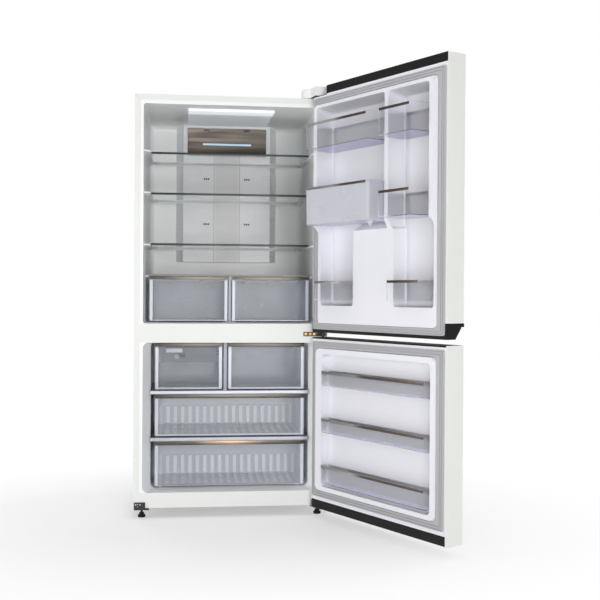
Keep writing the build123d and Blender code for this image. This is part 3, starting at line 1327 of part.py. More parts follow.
with BuildPart() as upper_door_foam:
    with BuildSketch(DOOR.offset(GRIP_TOP)):
        add(section_foam)
    extrude(amount=UPPER_TOP - CAP_T - GRIP_TOP)
    door_block(S_HINGE, S_FREE, N_IN - 1, N_IN + CAP_T, UPPER_TOP - CAP_H, UPPER_TOP, Mode.SUBTRACT)
    door_block(S_HINGE, notch_end, N_IN - 1, NOTCH_N + CAP_T, NOTCH_FLOOR - CAP_T, UPPER_TOP,
          Mode.SUBTRACT)
    door_rod(0, 0, NOTCH_FLOOR - CAP_T - 24, NOTCH_FLOOR, BOSS_R, Mode.SUBTRACT)
    add(flange_slab, mode=Mode.SUBTRACT)
    add(dyke_inside)
    add(pockets_grown, mode=Mode.SUBTRACT)
    door_block(NICHE_S0 - NICHE_WALL, NICHE_S1 + NICHE_WALL, NICHE_BACK - NICHE_WALL, N_OUT + 1,
          NICHE_Z0 - NICHE_WALL, NICHE_Z1 + NICHE_WALL, Mode.SUBTRACT)
    # the foam fills the grip cap
    with BuildSketch(across_door(S_HINGE + CAP_T)):
        with BuildLine():
            Polyline(*grip_profile(CAP_T), close=True)
        make_face()
    extrude(amount=CAB_W - 2 * CAP_T)
    door_rod(0, 0, UPPER_BOTTOM, UPPER_BOTTOM + 25, BOSS_R, Mode.SUBTRACT)
save(upper_door_foam, "upper_door_foam")


# ---------------------------------------------------------------- gaskets
GASKET_T = DOOR_GAP - GASKET_FREE
GASKET_OUT_S = (-17.0, 807.0)
GASKET_LEAN = 3.3       # how far the face falls back at the edge beside the hinge


def gasket(inside, z0, z1):
    """A magnetic gasket: a flat ring with two grooves along its face."""
    with BuildPart() as ring:
        with BuildSketch(on_door(N_IN)):
            round_panel(*GASKET_OUT_S, z0, z1, 8)
            round_panel(*grown(inside, 0.5), 20, Mode.SUBTRACT)
        extrude(amount=GASKET_T)
        for cut in (5.0, 15.0):
            with BuildSketch(on_door(N_IN - GASKET_T)):
                round_panel(GASKET_OUT_S[0] + cut, GASKET_OUT_S[1] - cut, z0 + cut, z1 - cut, 6)
                round_panel(GASKET_OUT_S[0] + cut + 2.5, GASKET_OUT_S[1] - cut - 2.5,
                            z0 + cut + 2.5, z1 - cut - 2.5, 5, Mode.SUBTRACT)
            extrude(amount=-4, mode=Mode.SUBTRACT)
        # beside the hinge the face leans back, so that it clears the cabinet as the door swings
        face = N_IN - GASKET_T
        with BuildSketch(DOOR.offset(z0 - 1)):
            with BuildLine():
                Polyline(
                    (0, face),
                    (1.1 * GASKET_OUT_S[0], face + 1.1 * GASKET_LEAN),
                    (1.1 * GASKET_OUT_S[0], face - 2),
                    (0, face - 2),
                    close=True,
                )
            make_face()
        extrude(amount=z1 - z0 + 2, mode=Mode.SUBTRACT)
    return ring


save(gasket(GASKET_IN, 820.0, 1813.0), "upper_door_gasket")

# ---------------------------------------------------------------- lower door
LOW_GASKET_IN = (15.0, 770.0, 127.0, 742.0)
RIM_CREST = -53.5
LOW_POCKET_N = -20.0
LOW_CAP_TOP = 84.0
LOW_CAP_BOTTOM = 47.0
TOP_PLATE = 6.0
lower_flange = (FLANGE_S0, FLANGE_S1, LOW_CAP_TOP, LOWER_TOP - TOP_PLATE)
lower_slab = flat(lower_flange, N_IN, FLANGE_N)


def lower_rim(skin):
    """The lower door's raised rim as one solid."""
    return funnel(
        on_door(FLANGE_N), grown(LOW_GASKET_IN, -skin),
        on_door(RIM_CREST + skin), (19 + skin, 766 - skin, 132 + skin, 738 - skin), 25,
    )


def lower_pocket(skin):
    """The shallow field inside that rim."""
    return funnel(
        on_door(LOW_POCKET_N + skin), (66 - skin, 742 + skin, 154 - skin, 712 + skin),
        on_door(RIM_CREST - 15), (61 - skin, 747 + skin, 149 - skin, 717 + skin), 18 + skin,
    )


low_rim_outside = lower_rim(0)
low_rim_inside = lower_rim(LINER_T)
low_pocket_clear = lower_pocket(0)
low_pocket_grown = lower_pocket(LINER_T)
low_body = flat(lower_flange, N_IN, N_OUT - 20)
low_pocket_walls = low_pocket_grown & (low_rim_outside + low_body)

with BuildPart() as lower_door_liner:
    add(lower_slab)
    add(low_rim_outside)
    add(low_rim_inside, mode=Mode.SUBTRACT)
    add(low_pocket_walls)
    add(low_pocket_clear, mode=Mode.SUBTRACT)
save(lower_door_liner, "lower_door_liner")

with BuildPart() as lower_door_skin:
    add(door_skin(LOWER_BOTTOM, LOWER_TOP, LOW_CAP_TOP, LOWER_TOP - TOP_PLATE))
save(lower_door_skin, "lower_door_skin")

with BuildPart() as lower_door_caps:
    with BuildSketch(DOOR.offset(LOWER_TOP - TOP_PLATE)):
        add(section_cap)
    extrude(amount=TOP_PLATE - 0.5)
    door_rod(0, 0, LOWER_TOP - TOP_PLATE - 20, LOWER_TOP - TOP_PLATE + 1, BOSS_R)
    door_rod(0, 0, LOWER_TOP - TOP_PLATE - 21, LOWER_TOP + 1, BORE_R, Mode.SUBTRACT)
    with BuildSketch(DOOR.offset(LOW_CAP_BOTTOM)):
        add(section_cap)
    extrude(amount=CAP_T)
    door_block(S_HINGE + SHEET, S_FREE - SHEET, N_IN, N_IN + CAP_T, LOW_CAP_BOTTOM, LOW_CAP_TOP)
    door_rod(0, 0, LOW_CAP_BOTTOM, LOW_CAP_BOTTOM + 26, BOSS_R)
    door_rod(0, 0, LOW_CAP_BOTTOM - 1, LOW_CAP_BOTTOM + 27, BORE_R, Mode.SUBTRACT)
save(lower_door_caps, "lower_door_caps")

with BuildPart() as lower_door_foam:
    with BuildSketch(DOOR.offset(LOW_CAP_BOTTOM + CAP_T)):
        add(section_foam)
    extrude(amount=LOWER_TOP - TOP_PLATE - LOW_CAP_BOTTOM - CAP_T)
    door_block(S_HINGE, S_FREE, N_IN - 1, N_IN + CAP_T, LOW_CAP_BOTTOM, LOW_CAP_TOP, Mode.SUBTRACT)
    add(lower_slab, mode=Mode.SUBTRACT)
    door_rod(0, 0, LOW_CAP_BOTTOM, LOW_CAP_BOTTOM + 26, BOSS_R, Mode.SUBTRACT)
    door_rod(0, 0, LOWER_TOP - TOP_PLATE - 20, LOWER_TOP, BOSS_R, Mode.SUBTRACT)
    add(low_rim_inside)
    add(low_pocket_grown, mode=Mode.SUBTRACT)
save(lower_door_foam, "lower_door_foam")

save(gasket(LOW_GASKET_IN, 101.0, 768.0), "lower_door_gasket")

# ---------------------------------------------------------------- door bins and water tank
BIN_STRIP = 11.0
BACK_CORNER = 9.0       # the bins' cut corners clear the rounded floor of a pocket


def bin_outline(s0, s1, n_front, n_back, taper, inset):
    """Plan outline of a bin that narrows to its front."""
    back = n_back - max(inset, 0)
    with BuildSketch() as outline:
        with BuildLine():
            Polyline(
                (s0 + inset + BACK_CORNER, back),
                (s1 - inset - BACK_CORNER, back),
                (s1 - inset, back - BACK_CORNER),
                (s1 - taper - inset, n_front + inset),
                (s0 + taper + inset, n_front + inset),
                (s0 + inset, back - BACK_CORNER),
                close=True,
            )
        make_face()
        fillet(outline.vertices().group_by(Axis.Y)[0], radius=14 - inset)
    return outline.sketch


def door_bin(s0, s1, z0, z1, n_front, n_back, taper):
    """A see-through bin with a raised band along its upper edge."""
    plan = [bin_outline(s0, s1, n_front, n_back, taper, inset)
            for inset in (3, 0, -0.8, 3 + WALL, WALL)]
    with BuildPart() as form:
        with BuildSketch(DOOR.offset(z0)):
            add(plan[0])
        with BuildSketch(DOOR.offset(z1)):
            add(plan[1])
        loft()
        with BuildSketch(DOOR.offset(z1 - BIN_STRIP)):
            add(plan[2])
        extrude(amount=BIN_STRIP)
        with BuildSketch(DOOR.offset(z0 + WALL)):
            add(plan[3])
        with BuildSketch(DOOR.offset(z1 + 0.5)):
            add(plan[4])
        loft(mode=Mode.SUBTRACT)
    return form.part


UPPER_FRONT = -143.0    # front plane of the large bins and the tank
SMALL_FRONT = -104.5
LOWER_FRONT = -65.5
LEFT_BIN = (54.0, 484.0)
RIGHT_BIN = (525.0, 741.0)
SMALL_LEFT = (57.0, 266.0)
SMALL_RIGHT = (536.0, 751.0)

wide = door_bin(*LEFT_BIN, 1576, 1684, UPPER_FRONT, POCKET_N, 5)
right_upper = door_bin(*RIGHT_BIN, 1577, 1682, UPPER_FRONT, POCKET_N, 8)
right_lower = door_bin(*RIGHT_BIN, 1266, 1367, UPPER_FRONT, POCKET_N, 8)
small_left = door_bin(*SMALL_LEFT, 947, 1026, SMALL_FRONT, POCKET_N, 6)
small_right = door_bin(*SMALL_RIGHT, 947, 1026, SMALL_FRONT, POCKET_N, 6)
low_bins = [door_bin(68.0, 740.0, z0, z1, LOWER_FRONT, LOW_POCKET_N, 2)
            for z0, z1 in ((582, 644), (383, 443), (168, 243))]

for label, solids in (
    ("upper_bin_wide", [wide]),
    ("upper_bins_right", [right_upper, right_lower]),
    ("upper_bins_small", [small_left, small_right]),
    ("lower_door_bins", low_bins),
):
    with BuildPart() as bins:
        for solid in solids:
            add(solid)
    save(bins, label)

TANK_Z0 = 1261.0
TANK_Z1 = 1405.0
LID_TOP = 1417.0
BARREL_R = 3.0          # hinge barrel along the lid's back edge
TANK_BACK = -4.0
TANK_TAPER = 5.0
tank_plan = [bin_outline(*LEFT_BIN, UPPER_FRONT, TANK_BACK, TANK_TAPER, inset)
             for inset in (3, 0, 3 + WALL, WALL)]
with BuildPart() as water_tank:
    with BuildSketch(DOOR.offset(TANK_Z0)):
        add(tank_plan[0])
    with BuildSketch(DOOR.offset(TANK_Z1)):
        add(tank_plan[1])
    loft()
    with BuildSketch(DOOR.offset(TANK_Z0 + WALL)):
        add(tank_plan[2])
    with BuildSketch(DOOR.offset(TANK_Z1 + 0.5)):
        add(tank_plan[3])
    loft(mode=Mode.SUBTRACT)
    # valve below the tank, and two hooks that rest against the liner
    door_rod(450, -105, TANK_Z0 - 12, TANK_Z0 + 1, 12)
    door_rod(450, -105, TANK_Z0 - 20, TANK_Z0 - 11, 6)
    for s in (90, 430):
        door_block(s - 12, s + 12, TANK_BACK - 1, POCKET_N, 1360, 1385)
save(water_tank, "water_tank")

with BuildPart() as tank_lid:
    with BuildSketch(DOOR.offset(TANK_Z1 + REST_GAP)):
        add(tank_plan[1])
    extrude(amount=LID_TOP - TANK_Z1 - REST_GAP)
    fillet(tank_lid.faces().sort_by(Axis.Z)[-1].edges(), radius=2)
    # shallow field around the round filler cap
    door_rod(270, -75, LID_TOP - 3, LID_TOP + 1, 34, Mode.SUBTRACT)
    door_rod(270, -75, LID_TOP - 3.5, LID_TOP - 0.5, 28)
    door_block(244, 296, -78, -72, LID_TOP - 1, LID_TOP + 2)
    with BuildSketch(across_door(LEFT_BIN[0] + 60)):
        with Locations((TANK_BACK, LID_TOP - BARREL_R)):
            Circle(BARREL_R)
    extrude(amount=LEFT_BIN[1] - LEFT_BIN[0] - 120)
save(tank_lid, "tank_lid")

# ---------------------------------------------------------------- dispenser in the outer face
PADDLE_N = 6.0
PADDLE_Z = 1196.0
PADDLE_S = ((NICHE_S0 + NICHE_S1) / 2 - 22, (NICHE_S0 + NICHE_S1) / 2 + 22)
PADDLE_PIN = 3.0
with BuildPart() as dispenser_recess:
    door_block(NICHE_S0 - NICHE_WALL, NICHE_S1 + NICHE_WALL, NICHE_BACK - NICHE_WALL, N_OUT - SHEET,
          NICHE_Z0 - NICHE_WALL, NICHE_Z1 + NICHE_WALL)
    door_block(NICHE_S0, NICHE_S1, NICHE_BACK, N_OUT + 5, NICHE_Z0, NICHE_Z1, Mode.SUBTRACT)
    # frame on the outer face
    with BuildSketch(on_door(N_OUT + 2)):
        round_panel(NICHE_S0 - 10, NICHE_S1 + 10, NICHE_Z0 - 10, NICHE_Z1 + 10, 8)
        panel(NICHE_S0, NICHE_S1, NICHE_Z0, NICHE_Z1, Mode.SUBTRACT)
    extrude(amount=2)
    with BuildSketch(on_door(N_OUT)):
        panel(NICHE_S0, NICHE_S1, NICHE_Z0, NICHE_Z1)
        panel(NICHE_S0 + NICHE_WALL, NICHE_S1 - NICHE_WALL, NICHE_Z0 + NICHE_WALL,
              NICHE_Z1 - NICHE_WALL, Mode.SUBTRACT)
    extrude(amount=12)
    # spout housing and drip grille
    door_block(NICHE_S0 + 55, NICHE_S1 - 55, NICHE_BACK + 22, N_OUT - 12, NICHE_Z1 - 22, NICHE_Z1)
    middle = (NICHE_S0 + NICHE_S1) / 2
    door_rod(middle, 26, NICHE_Z1 - 34, NICHE_Z1 - 21, 7)
    door_rod(middle, 26, NICHE_Z1 - 35, NICHE_Z1 - 24, 4.5, Mode.SUBTRACT)
    for bar in range(9):
        s = NICHE_S0 + 28 + bar * 18
        door_block(s - 2, s + 2, NICHE_BACK + 6, N_OUT - 6, NICHE_Z0 - 1, NICHE_Z0 + 4)
    # bearings of the paddle
    for s in (PADDLE_S[0] - 6, PADDLE_S[1] + 1.5):
        door_block(s, s + 4.5, NICHE_BACK - 1, PADDLE_N + 5, PADDLE_Z - 5, PADDLE_Z + 5)
    with BuildSketch(across_door(PADDLE_S[0] - 7)):
        with Locations((PADDLE_N, PADDLE_Z)):
            Circle(PADDLE_PIN + PIN_FIT)
    extrude(amount=PADDLE_S[1] - PADDLE_S[0] + 14, mode=Mode.SUBTRACT)
save(dispenser_recess, "dispenser_recess")

with BuildPart() as dispenser_paddle:
    with BuildSketch(across_door(PADDLE_S[0])):
        with BuildLine():
            Polyline(
                (PADDLE_N - 3, PADDLE_Z),
                (PADDLE_N + 3, PADDLE_Z),
                (PADDLE_N + 10, PADDLE_Z - 70),
                (PADDLE_N + 18, PADDLE_Z - 96),
                (PADDLE_N + 14, PADDLE_Z - 97),
                (PADDLE_N + 6, PADDLE_Z - 70),
                close=True,
            )
        make_face()
        with Locations((PADDLE_N, PADDLE_Z)):
            Circle(4.5)
    extrude(amount=PADDLE_S[1] - PADDLE_S[0])
    with BuildSketch(across_door(PADDLE_S[0] - 5.5)):
        with Locations((PADDLE_N, PADDLE_Z)):
            Circle(PADDLE_PIN)
    extrude(amount=PADDLE_S[1] - PADDLE_S[0] + 11)
save(dispenser_paddle, "dispenser_paddle")
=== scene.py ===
import math

import bmesh
import bpy
from mathutils import Matrix, Vector


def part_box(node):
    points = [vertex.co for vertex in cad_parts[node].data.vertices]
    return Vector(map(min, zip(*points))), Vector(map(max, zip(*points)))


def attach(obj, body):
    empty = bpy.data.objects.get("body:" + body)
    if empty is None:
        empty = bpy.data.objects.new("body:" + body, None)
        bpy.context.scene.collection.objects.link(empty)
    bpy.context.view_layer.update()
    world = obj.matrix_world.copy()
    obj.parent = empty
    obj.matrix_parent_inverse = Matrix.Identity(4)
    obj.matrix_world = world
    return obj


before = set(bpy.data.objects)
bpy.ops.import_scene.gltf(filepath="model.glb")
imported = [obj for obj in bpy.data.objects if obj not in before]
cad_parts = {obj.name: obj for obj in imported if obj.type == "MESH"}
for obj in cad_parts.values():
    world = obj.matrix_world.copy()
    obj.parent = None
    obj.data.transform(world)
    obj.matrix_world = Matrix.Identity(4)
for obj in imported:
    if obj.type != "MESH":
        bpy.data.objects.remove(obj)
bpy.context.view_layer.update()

# ---------------------------------------------------------------- places on the object, in metres
HINGE = Vector((0.395, -0.0465, 0))         # axis of both doors
DOOR_TURN = math.radians(-62)               # a door's own x axis, seen from above
DOOR_ALONG = Vector((math.cos(DOOR_TURN), math.sin(DOOR_TURN), 0))
DOOR_OUT = Vector((-math.sin(DOOR_TURN), math.cos(DOOR_TURN), 0))

SHELF_HEIGHTS = (1.596, 1.414, 1.187)       # undersides of the glass shelves, from the top
CRISPER_TOP = 1.049                         # top of the glass over the crispers
CRISPER_FRONT = 0.174                       # y of the crispers' faces
FREEZER_FRONT = 0.104                       # y of the freezer drawers' faces
RIB_START, RIB_PITCH = -0.2767, 0.034588    # ribs of the two wide freezer drawers, along x
SHELF_FRONT, SHELF_MIDDLE = 0.182, 0.35     # y of a glass shelf's front edge and of its middle
PLATE_BOTTOM, PLATE_SIDE = 1.64, 0.19       # the bronze plate on the air duct
DUCT_JOINT = 0.062                          # the duct's upright joints, to each side of its middle
OVER_LIGHT_BAR = 1.72                       # the lit bar in the plate is below this
BEHIND_LAMP = 0.191                         # y behind the ceiling lamp, where its panel starts
BARS_TOP = 0.543                            # top of the silvery bars; the dividers are above it
DOORS_BACK = -0.05                          # y before which a piece is on a door
# the pale and the dark of a door's foil are a painted reflection
FOIL_TURNS = -0.34                          # y where the foil on a door turns dark


def on_door(along, out, up):
    """A point of a door: from the hinge axis to the free edge, to the outside, and up."""
    return HINGE + DOOR_ALONG * along + DOOR_OUT * out + Vector((0, 0, up))


# ---------------------------------------------------------------- node helpers
def tint(red, green, blue):
    """A colour as it is seen on a screen, from 0 to 255, for a colour socket."""
    def linear(value):
        value /= 255
        return value / 12.92 if value <= 0.04045 else ((value + 0.055) / 1.055) ** 2.4
    return (linear(red), linear(green), linear(blue), 1.0)


def feed(tree, socket, value):
    """Give an input a plain value, or link another node's socket to it."""
    if isinstance(value, bpy.types.NodeSocket):
        tree.links.new(value, socket)
    else:
        socket.default_value = value


def feed_inputs(tree, node, **inputs):
    """Feed a node's inputs by their names."""
    for name, value in inputs.items():
        feed(tree, node.inputs[name.replace("_", " ")], value)


def place(tree, kind, settings=None, **inputs):
    """A new node with its settings and its inputs."""
    node = tree.nodes.new(kind)
    for name, value in (settings or {}).items():
        setattr(node, name, value)
    feed_inputs(tree, node, **inputs)
    return node


def blend_colours(tree, factor, first, second):
    """The colour between two others."""
    node = place(tree, "ShaderNodeMix", {"data_type": "RGBA"})
    for number, value in ((0, factor), (6, first), (7, second)):
        feed(tree, node.inputs[number], value)
    return node.outputs[2]


def spread(tree, value, low, high, start, end):
    """A value from low to high turned into one from start to end."""
    return place(tree, "ShaderNodeMapRange", Value=value, From_Min=low, From_Max=high,
                 To_Min=start, To_Max=end).outputs[0]


def calculate(tree, operation, first, second=0.0):
    """One sum of two values."""
    node = place(tree, "ShaderNodeMath", {"operation": operation})
    for socket, value in zip(node.inputs, (first, second)):
        feed(tree, socket, value)
    return node.outputs[0]


def times(tree, first, second):
    """The product of two values."""
    return calculate(tree, "MULTIPLY", first, second)


def on_surface(tree, stretch=(1, 1, 1), turn=(0, 0, 0)):
    """Object coordinates, stretched along the axes and turned."""
    where = tree.nodes.new("ShaderNodeTexCoord").outputs["Object"]
    return place(tree, "ShaderNodeMapping", Vector=where, Scale=stretch, Rotation=turn).outputs[0]


def object_axes(tree):
    """Object coordinates as three values, X, Y and Z."""
    where = tree.nodes.new("ShaderNodeTexCoord").outputs["Object"]
    return place(tree, "ShaderNodeSeparateXYZ", Vector=where).outputs


def facing_up(tree):
    """How much the surface looks up, from -1 to 1."""
    normal = tree.nodes.new("ShaderNodeNewGeometry").outputs["Normal"]
    return place(tree, "ShaderNodeSeparateXYZ", Vector=normal).outputs["Z"]


def noise(tree, where, scale, detail, warp=0.0):
    """Soft noise around a half."""
    return place(tree, "ShaderNodeTexNoise", Vector=where, Scale=scale, Detail=detail,
                 Distortion=warp).outputs["Fac"]


def seen_edge_on(tree, blend):
    """How flatly the eye looks along the surface, from 0 to 1."""
    return place(tree, "ShaderNodeLayerWeight", Blend=blend).outputs["Facing"]


def mix_shaders(tree, share, first, second):
    """The shader between two others."""
    node = tree.nodes.new("ShaderNodeMixShader")
    for socket, value in zip(node.inputs, (share, first, second)):
        feed(tree, socket, value)
    return node.outputs[0]


def start_group(name, inputs, outputs):
    """An empty node group with named inputs, each with its value, and named outputs."""
    group = bpy.data.node_groups.new(name, "ShaderNodeTree")
    for label, kind, value in inputs:
        socket = group.interface.new_socket(label, in_out="INPUT", socket_type=kind)
        socket.default_value = value
    for label, kind in outputs:
        group.interface.new_socket(label, in_out="OUTPUT", socket_type=kind)
    entry = group.nodes.new("NodeGroupInput")
    leave = group.nodes.new("NodeGroupOutput")
    return group, entry.outputs, leave.inputs


def use_group(tree, group, **inputs):
    """A group placed in a material with its own values."""
    return place(tree, "ShaderNodeGroup", {"node_tree": group}, **inputs).outputs


FLOAT = "NodeSocketFloat"
COLOUR = "NodeSocketColor"


# ---------------------------------------------------------------- shared surface effects
def make_tone_drift():
    """A colour that drifts a little towards a second one over the piece."""
    group, given, result = start_group(
        "tone_drift",
        [("Colour", COLOUR, (1, 1, 1, 1)), ("Second", COLOUR, (1, 1, 1, 1)), ("Scale", FLOAT, 2.0),
         ("Amount", FLOAT, 0.5)],
        [("Colour", COLOUR)])
    cloud = noise(group, on_surface(group), given["Scale"], 3.0)
    share = times(group, spread(group, cloud, 0.3, 0.7, 0.0, 1.0), given["Amount"])
    feed(group, result["Colour"], blend_colours(group, share, given["Colour"], given["Second"]))
    return group


def make_smudges():
    """Roughness of a surface that hands have touched: soft patches and a few fine wipes."""
    group, given, result = start_group(
        "smudges", [("Base", FLOAT, 0.3), ("Spread", FLOAT, 0.1), ("Scale", FLOAT, 6.0)],
        [("Roughness", FLOAT)])
    patch = noise(group, on_surface(group), given["Scale"], 4.0, 0.6)
    wipe = noise(group, on_surface(group, (3, 3, 40), (0.5, 0.3, 0)), 3.0, 2.0)
    both = calculate(group, "ADD", times(group, patch, 0.7), times(group, wipe, 0.3))
    shift = times(group, spread(group, both, 0.35, 0.65, -1.0, 1.0), given["Spread"])
    feed(group, result["Roughness"], calculate(group, "ADD", given["Base"], shift))
    return group


def make_fine_grain():
    """Height of a moulded or painted surface: fine cells over a slow swell."""
    group, given, result = start_group(
        "fine_grain", [("Size", FLOAT, 600.0), ("Swell", FLOAT, 0.3)], [("Height", FLOAT)])
    cells = noise(group, on_surface(group), given["Size"], 2.0)
    swell = noise(group, on_surface(group), 28.0, 1.0)
    feed(group, result["Height"],
         calculate(group, "ADD", cells, times(group, swell, given["Swell"])))
    return group


def make_brushing():
    """Fine lines along x, for brushed or drawn metal."""
    group, given, result = start_group(
        "brushing", [("Fine", FLOAT, 900.0), ("Contrast", FLOAT, 1.0)],
        [("Line", FLOAT), ("Height", FLOAT)])
    line = noise(group, on_surface(group, (0.012, 1, 1)), given["Fine"], 3.0)
    centred = calculate(group, "SUBTRACT", line, 0.5)
    feed(group, result["Line"],
         calculate(group, "ADD", times(group, centred, given["Contrast"]), 0.5))
    feed(group, result["Height"], line)
    return group


def make_settled_dust():
    """Where dust lies: on faces that look up, in uneven patches."""
    group, given, result = start_group("settled_dust", [("Amount", FLOAT, 0.3)], [("Mask", FLOAT)])
    lying = spread(group, facing_up(group), 0.4, 0.95, 0.0, 1.0)
    patches = spread(group, noise(group, on_surface(group), 35.0, 5.0), 0.35, 0.75, 0.0, 1.0)
    feed(group, result["Mask"], times(group, times(group, lying, patches), given["Amount"]))
    return group


tone_drift = make_tone_drift()
smudges = make_smudges()
fine_grain = make_fine_grain()
brushing = make_brushing()
settled_dust = make_settled_dust()


# ---------------------------------------------------------------- what the materials share
DUST = tint(176, 172, 164)
LINE_DEPTH = 0.00004                        # of the lines in brushed metal


def start_material(name):
    """A material with a Principled shader on its output."""
    material = bpy.data.materials.new(name)
    material.use_nodes = True
    tree = material.node_tree
    tree.nodes.clear()
    surface = tree.nodes.new("ShaderNodeBsdfPrincipled")
    place(tree, "ShaderNodeOutputMaterial", Surface=surface.outputs[0])
    return material, tree, surface


def show_instead(tree, shader):
    """Put another shader on a material's output."""
    output = next(node for node in tree.nodes if node.type == "OUTPUT_MATERIAL")
    tree.links.new(shader, output.inputs["Surface"])


def drifting(tree, colour, second, scale, amount):
    """A colour that drifts towards a second one."""
    return use_group(tree, tone_drift, Colour=colour, Second=second, Scale=scale,
                     Amount=amount)["Colour"]


def handled(tree, base, reach, scale):
    """The roughness of a surface that hands have touched."""
    return use_group(tree, smudges, Base=base, Spread=reach, Scale=scale)["Roughness"]


def raise_surface(tree, surface, height, strength, distance):
    """Bump from a height."""
    bump = place(tree, "ShaderNodeBump", Height=height, Strength=strength, Distance=distance)
    tree.links.new(bump.outputs[0], surface.inputs["Normal"])


def grain_surface(tree, surface, size, swell, strength, depth):
    """Bump from fine cells over a slow swell."""
    height = use_group(tree, fine_grain, Size=size, Swell=swell)["Height"]
    raise_surface(tree, surface, height, strength, depth)


def ripple_surface(tree, surface, strength):
    """The slow ripple of clear plastic and glass."""
    grain_surface(tree, surface, 90.0, 1.0, strength, 0.0002)


def brush_surface(tree, surface, lines, bright, dull):
    """Gloss and bump that follow the brushed lines."""
    feed_inputs(tree, surface, Roughness=spread(tree, lines["Line"], 0.2, 0.8, bright, dull))
    raise_surface(tree, surface, lines["Height"], 0.2, LINE_DEPTH)


def let_light_through(tree, surface, share):
    """Lamps shine through the piece, so that what lies behind it isn't black."""
    clear = place(tree, "ShaderNodeBsdfTransparent", Color=share)
    path = tree.nodes.new("ShaderNodeLightPath")
    show_instead(tree, mix_shaders(tree, path.outputs["Is Shadow Ray"], surface.outputs[0],
                                   clear.outputs[0]))


# ---------------------------------------------------------------- paints, plastics and metals
def paint(name, colour, second, base, reach, grain, swell, depth, dust=0.0, **inputs):
    """Paint or moulded plastic: drifting colour, handled gloss, grain, and dust where wanted."""
    material, tree, surface = start_material(name)
    shade = drifting(tree, colour, second, 2.0, 0.5)
    gloss = handled(tree, base, reach, 6.0)
    if dust:
        mask = use_group(tree, settled_dust, Amount=dust)["Mask"]
        shade = blend_colours(tree, mask, shade, DUST)
        gloss = calculate(tree, "ADD", gloss, times(tree, mask, 0.4))
    feed_inputs(tree, surface, Base_Color=shade, Roughness=gloss, **inputs)
    grain_surface(tree, surface, grain, swell, 0.25, depth)
    return material


def drawn_metal(name, dark, light, bright, fine, contrast):
    """Metal with fine lines along x and slow patches of a second tone."""
    material, tree, surface = start_material(name)
    lines = use_group(tree, brushing, Fine=fine, Contrast=contrast)
    shade = drifting(tree, blend_colours(tree, lines["Line"], dark, light), dark, 3.0, 0.35)
    feed_inputs(tree, surface, Base_Color=shade, Metallic=1.0)
    brush_surface(tree, surface, lines, bright, bright + 0.12)
    return material


def plated_steel(name, colour, second, rough):
    """Zinc or brass plating: small crystals of slightly different tone, and dull spots."""
    material, tree, surface = start_material(name)
    crystal = place(tree, "ShaderNodeTexVoronoi", Vector=on_surface(tree), Scale=260.0)
    random = place(tree, "ShaderNodeSeparateColor", Color=crystal.outputs["Color"]).outputs[0]
    shade = blend_colours(tree, spread(tree, random, 0.0, 1.0, 0.0, 0.6), colour, second)
    feed_inputs(tree, surface, Base_Color=shade, Roughness=handled(tree, rough, 0.12, 40.0),
                Metallic=0.9)
    grain_surface(tree, surface, 1500.0, 0.5, 0.2, 0.00008)
    return material


def make_shelf_glass():
    """The shelves' glass: its green tint gathers where it is seen edge on."""
    material, tree, surface = start_material("clear_float")
    face, edge = tint(254, 255, 255), tint(230, 241, 238)
    gathered = spread(tree, seen_edge_on(tree, 0.35), 0.25, 1.0, 0.0, 1.0)
    shade = blend_colours(tree, gathered, drifting(tree, face, edge, 9.0, 0.12), edge)
    feed_inputs(tree, surface, Base_Color=shade, Roughness=handled(tree, 0.01, 0.005, 12.0),
                Transmission_Weight=1.0, IOR=1.15)
    ripple_surface(tree, surface, 0.006)
    let_light_through(tree, surface, (0.98, 0.985, 0.985, 1))
    return material


def drawer_plastic(node, front, see, back, tones, rib_top):
    """A drawer: see-through in front within a pale band painted as light from its lit side walls, denser
    behind, with painted light and shade on its ribs up to rib_top.
    """
    low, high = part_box(node)
    body_tone, grazed_tone = tones
    material, tree, surface = start_material(node + "_clear")
    axes = object_axes(tree)
    behind = spread(tree, axes["Y"], front + 0.004, front + 0.014, see, back)

    # painted light: a pale band of about 13 mm along the sides and the foot of the front, where the lit
    # side walls show through
    to_side = calculate(tree, "MINIMUM", calculate(tree, "SUBTRACT", axes["X"], low.x),
                        calculate(tree, "SUBTRACT", high.x, axes["X"]))
    inset = calculate(tree, "MINIMUM", to_side,
                      calculate(tree, "SUBTRACT", axes["Z"], low.z - 0.006))
    band = times(tree, spread(tree, inset, 0.016, 0.019, 1.0, 0.0),
                 spread(tree, inset, 0.003, 0.005, 0.0, 1.0))
    painted_wall_band = times(tree, band, spread(tree, axes["Y"], front + 0.02, front + 0.026, 1.0, 0.0))

    graze = seen_edge_on(tree, 0.4)
    body = drifting(tree, body_tone, grazed_tone, 7.0, 0.35)
    shade = blend_colours(tree, spread(tree, graze, 0.45, 0.95, 0.0, 1.0), body, grazed_tone)
    # painted light and shade on the ribs: pale on each rib, darker in the gaps between them
    if rib_top:
        turns = calculate(tree, "DIVIDE", calculate(tree, "SUBTRACT", axes["X"], RIB_START),
                          RIB_PITCH)
        stripe = spread(tree, calculate(tree, "PINGPONG", turns, 0.5), 0.2, 0.27, 1.0, 0.0)
        ribbed = times(tree, spread(tree, axes["Z"], rib_top - 0.006, rib_top, 1.0, 0.0),
                       spread(tree, axes["Y"], front + 0.01, front + 0.04, 0.0, 1.0))
        gap = times(tree, calculate(tree, "SUBTRACT", 1.0, stripe), ribbed)
        shade = blend_colours(tree, times(tree, stripe, ribbed), shade, tint(250, 251, 254))
        shade = blend_colours(tree, times(tree, gap, 0.5), shade, tint(200, 205, 217))
    # the colour of the painted pale band
    shade = blend_colours(tree, times(tree, painted_wall_band, 0.85), shade, tint(236, 239, 247))

    edge_on = calculate(tree, "MAXIMUM", spread(tree, graze, 0.55, 0.97, 0.0, 0.8),
                        times(tree, painted_wall_band, 0.7))
    feed_inputs(tree, surface, Base_Color=shade, Roughness=handled(tree, 0.14, 0.05, 12.0),
                Alpha=calculate(tree, "MAXIMUM", behind, edge_on))
    ripple_surface(tree, surface, 0.05)
    return material


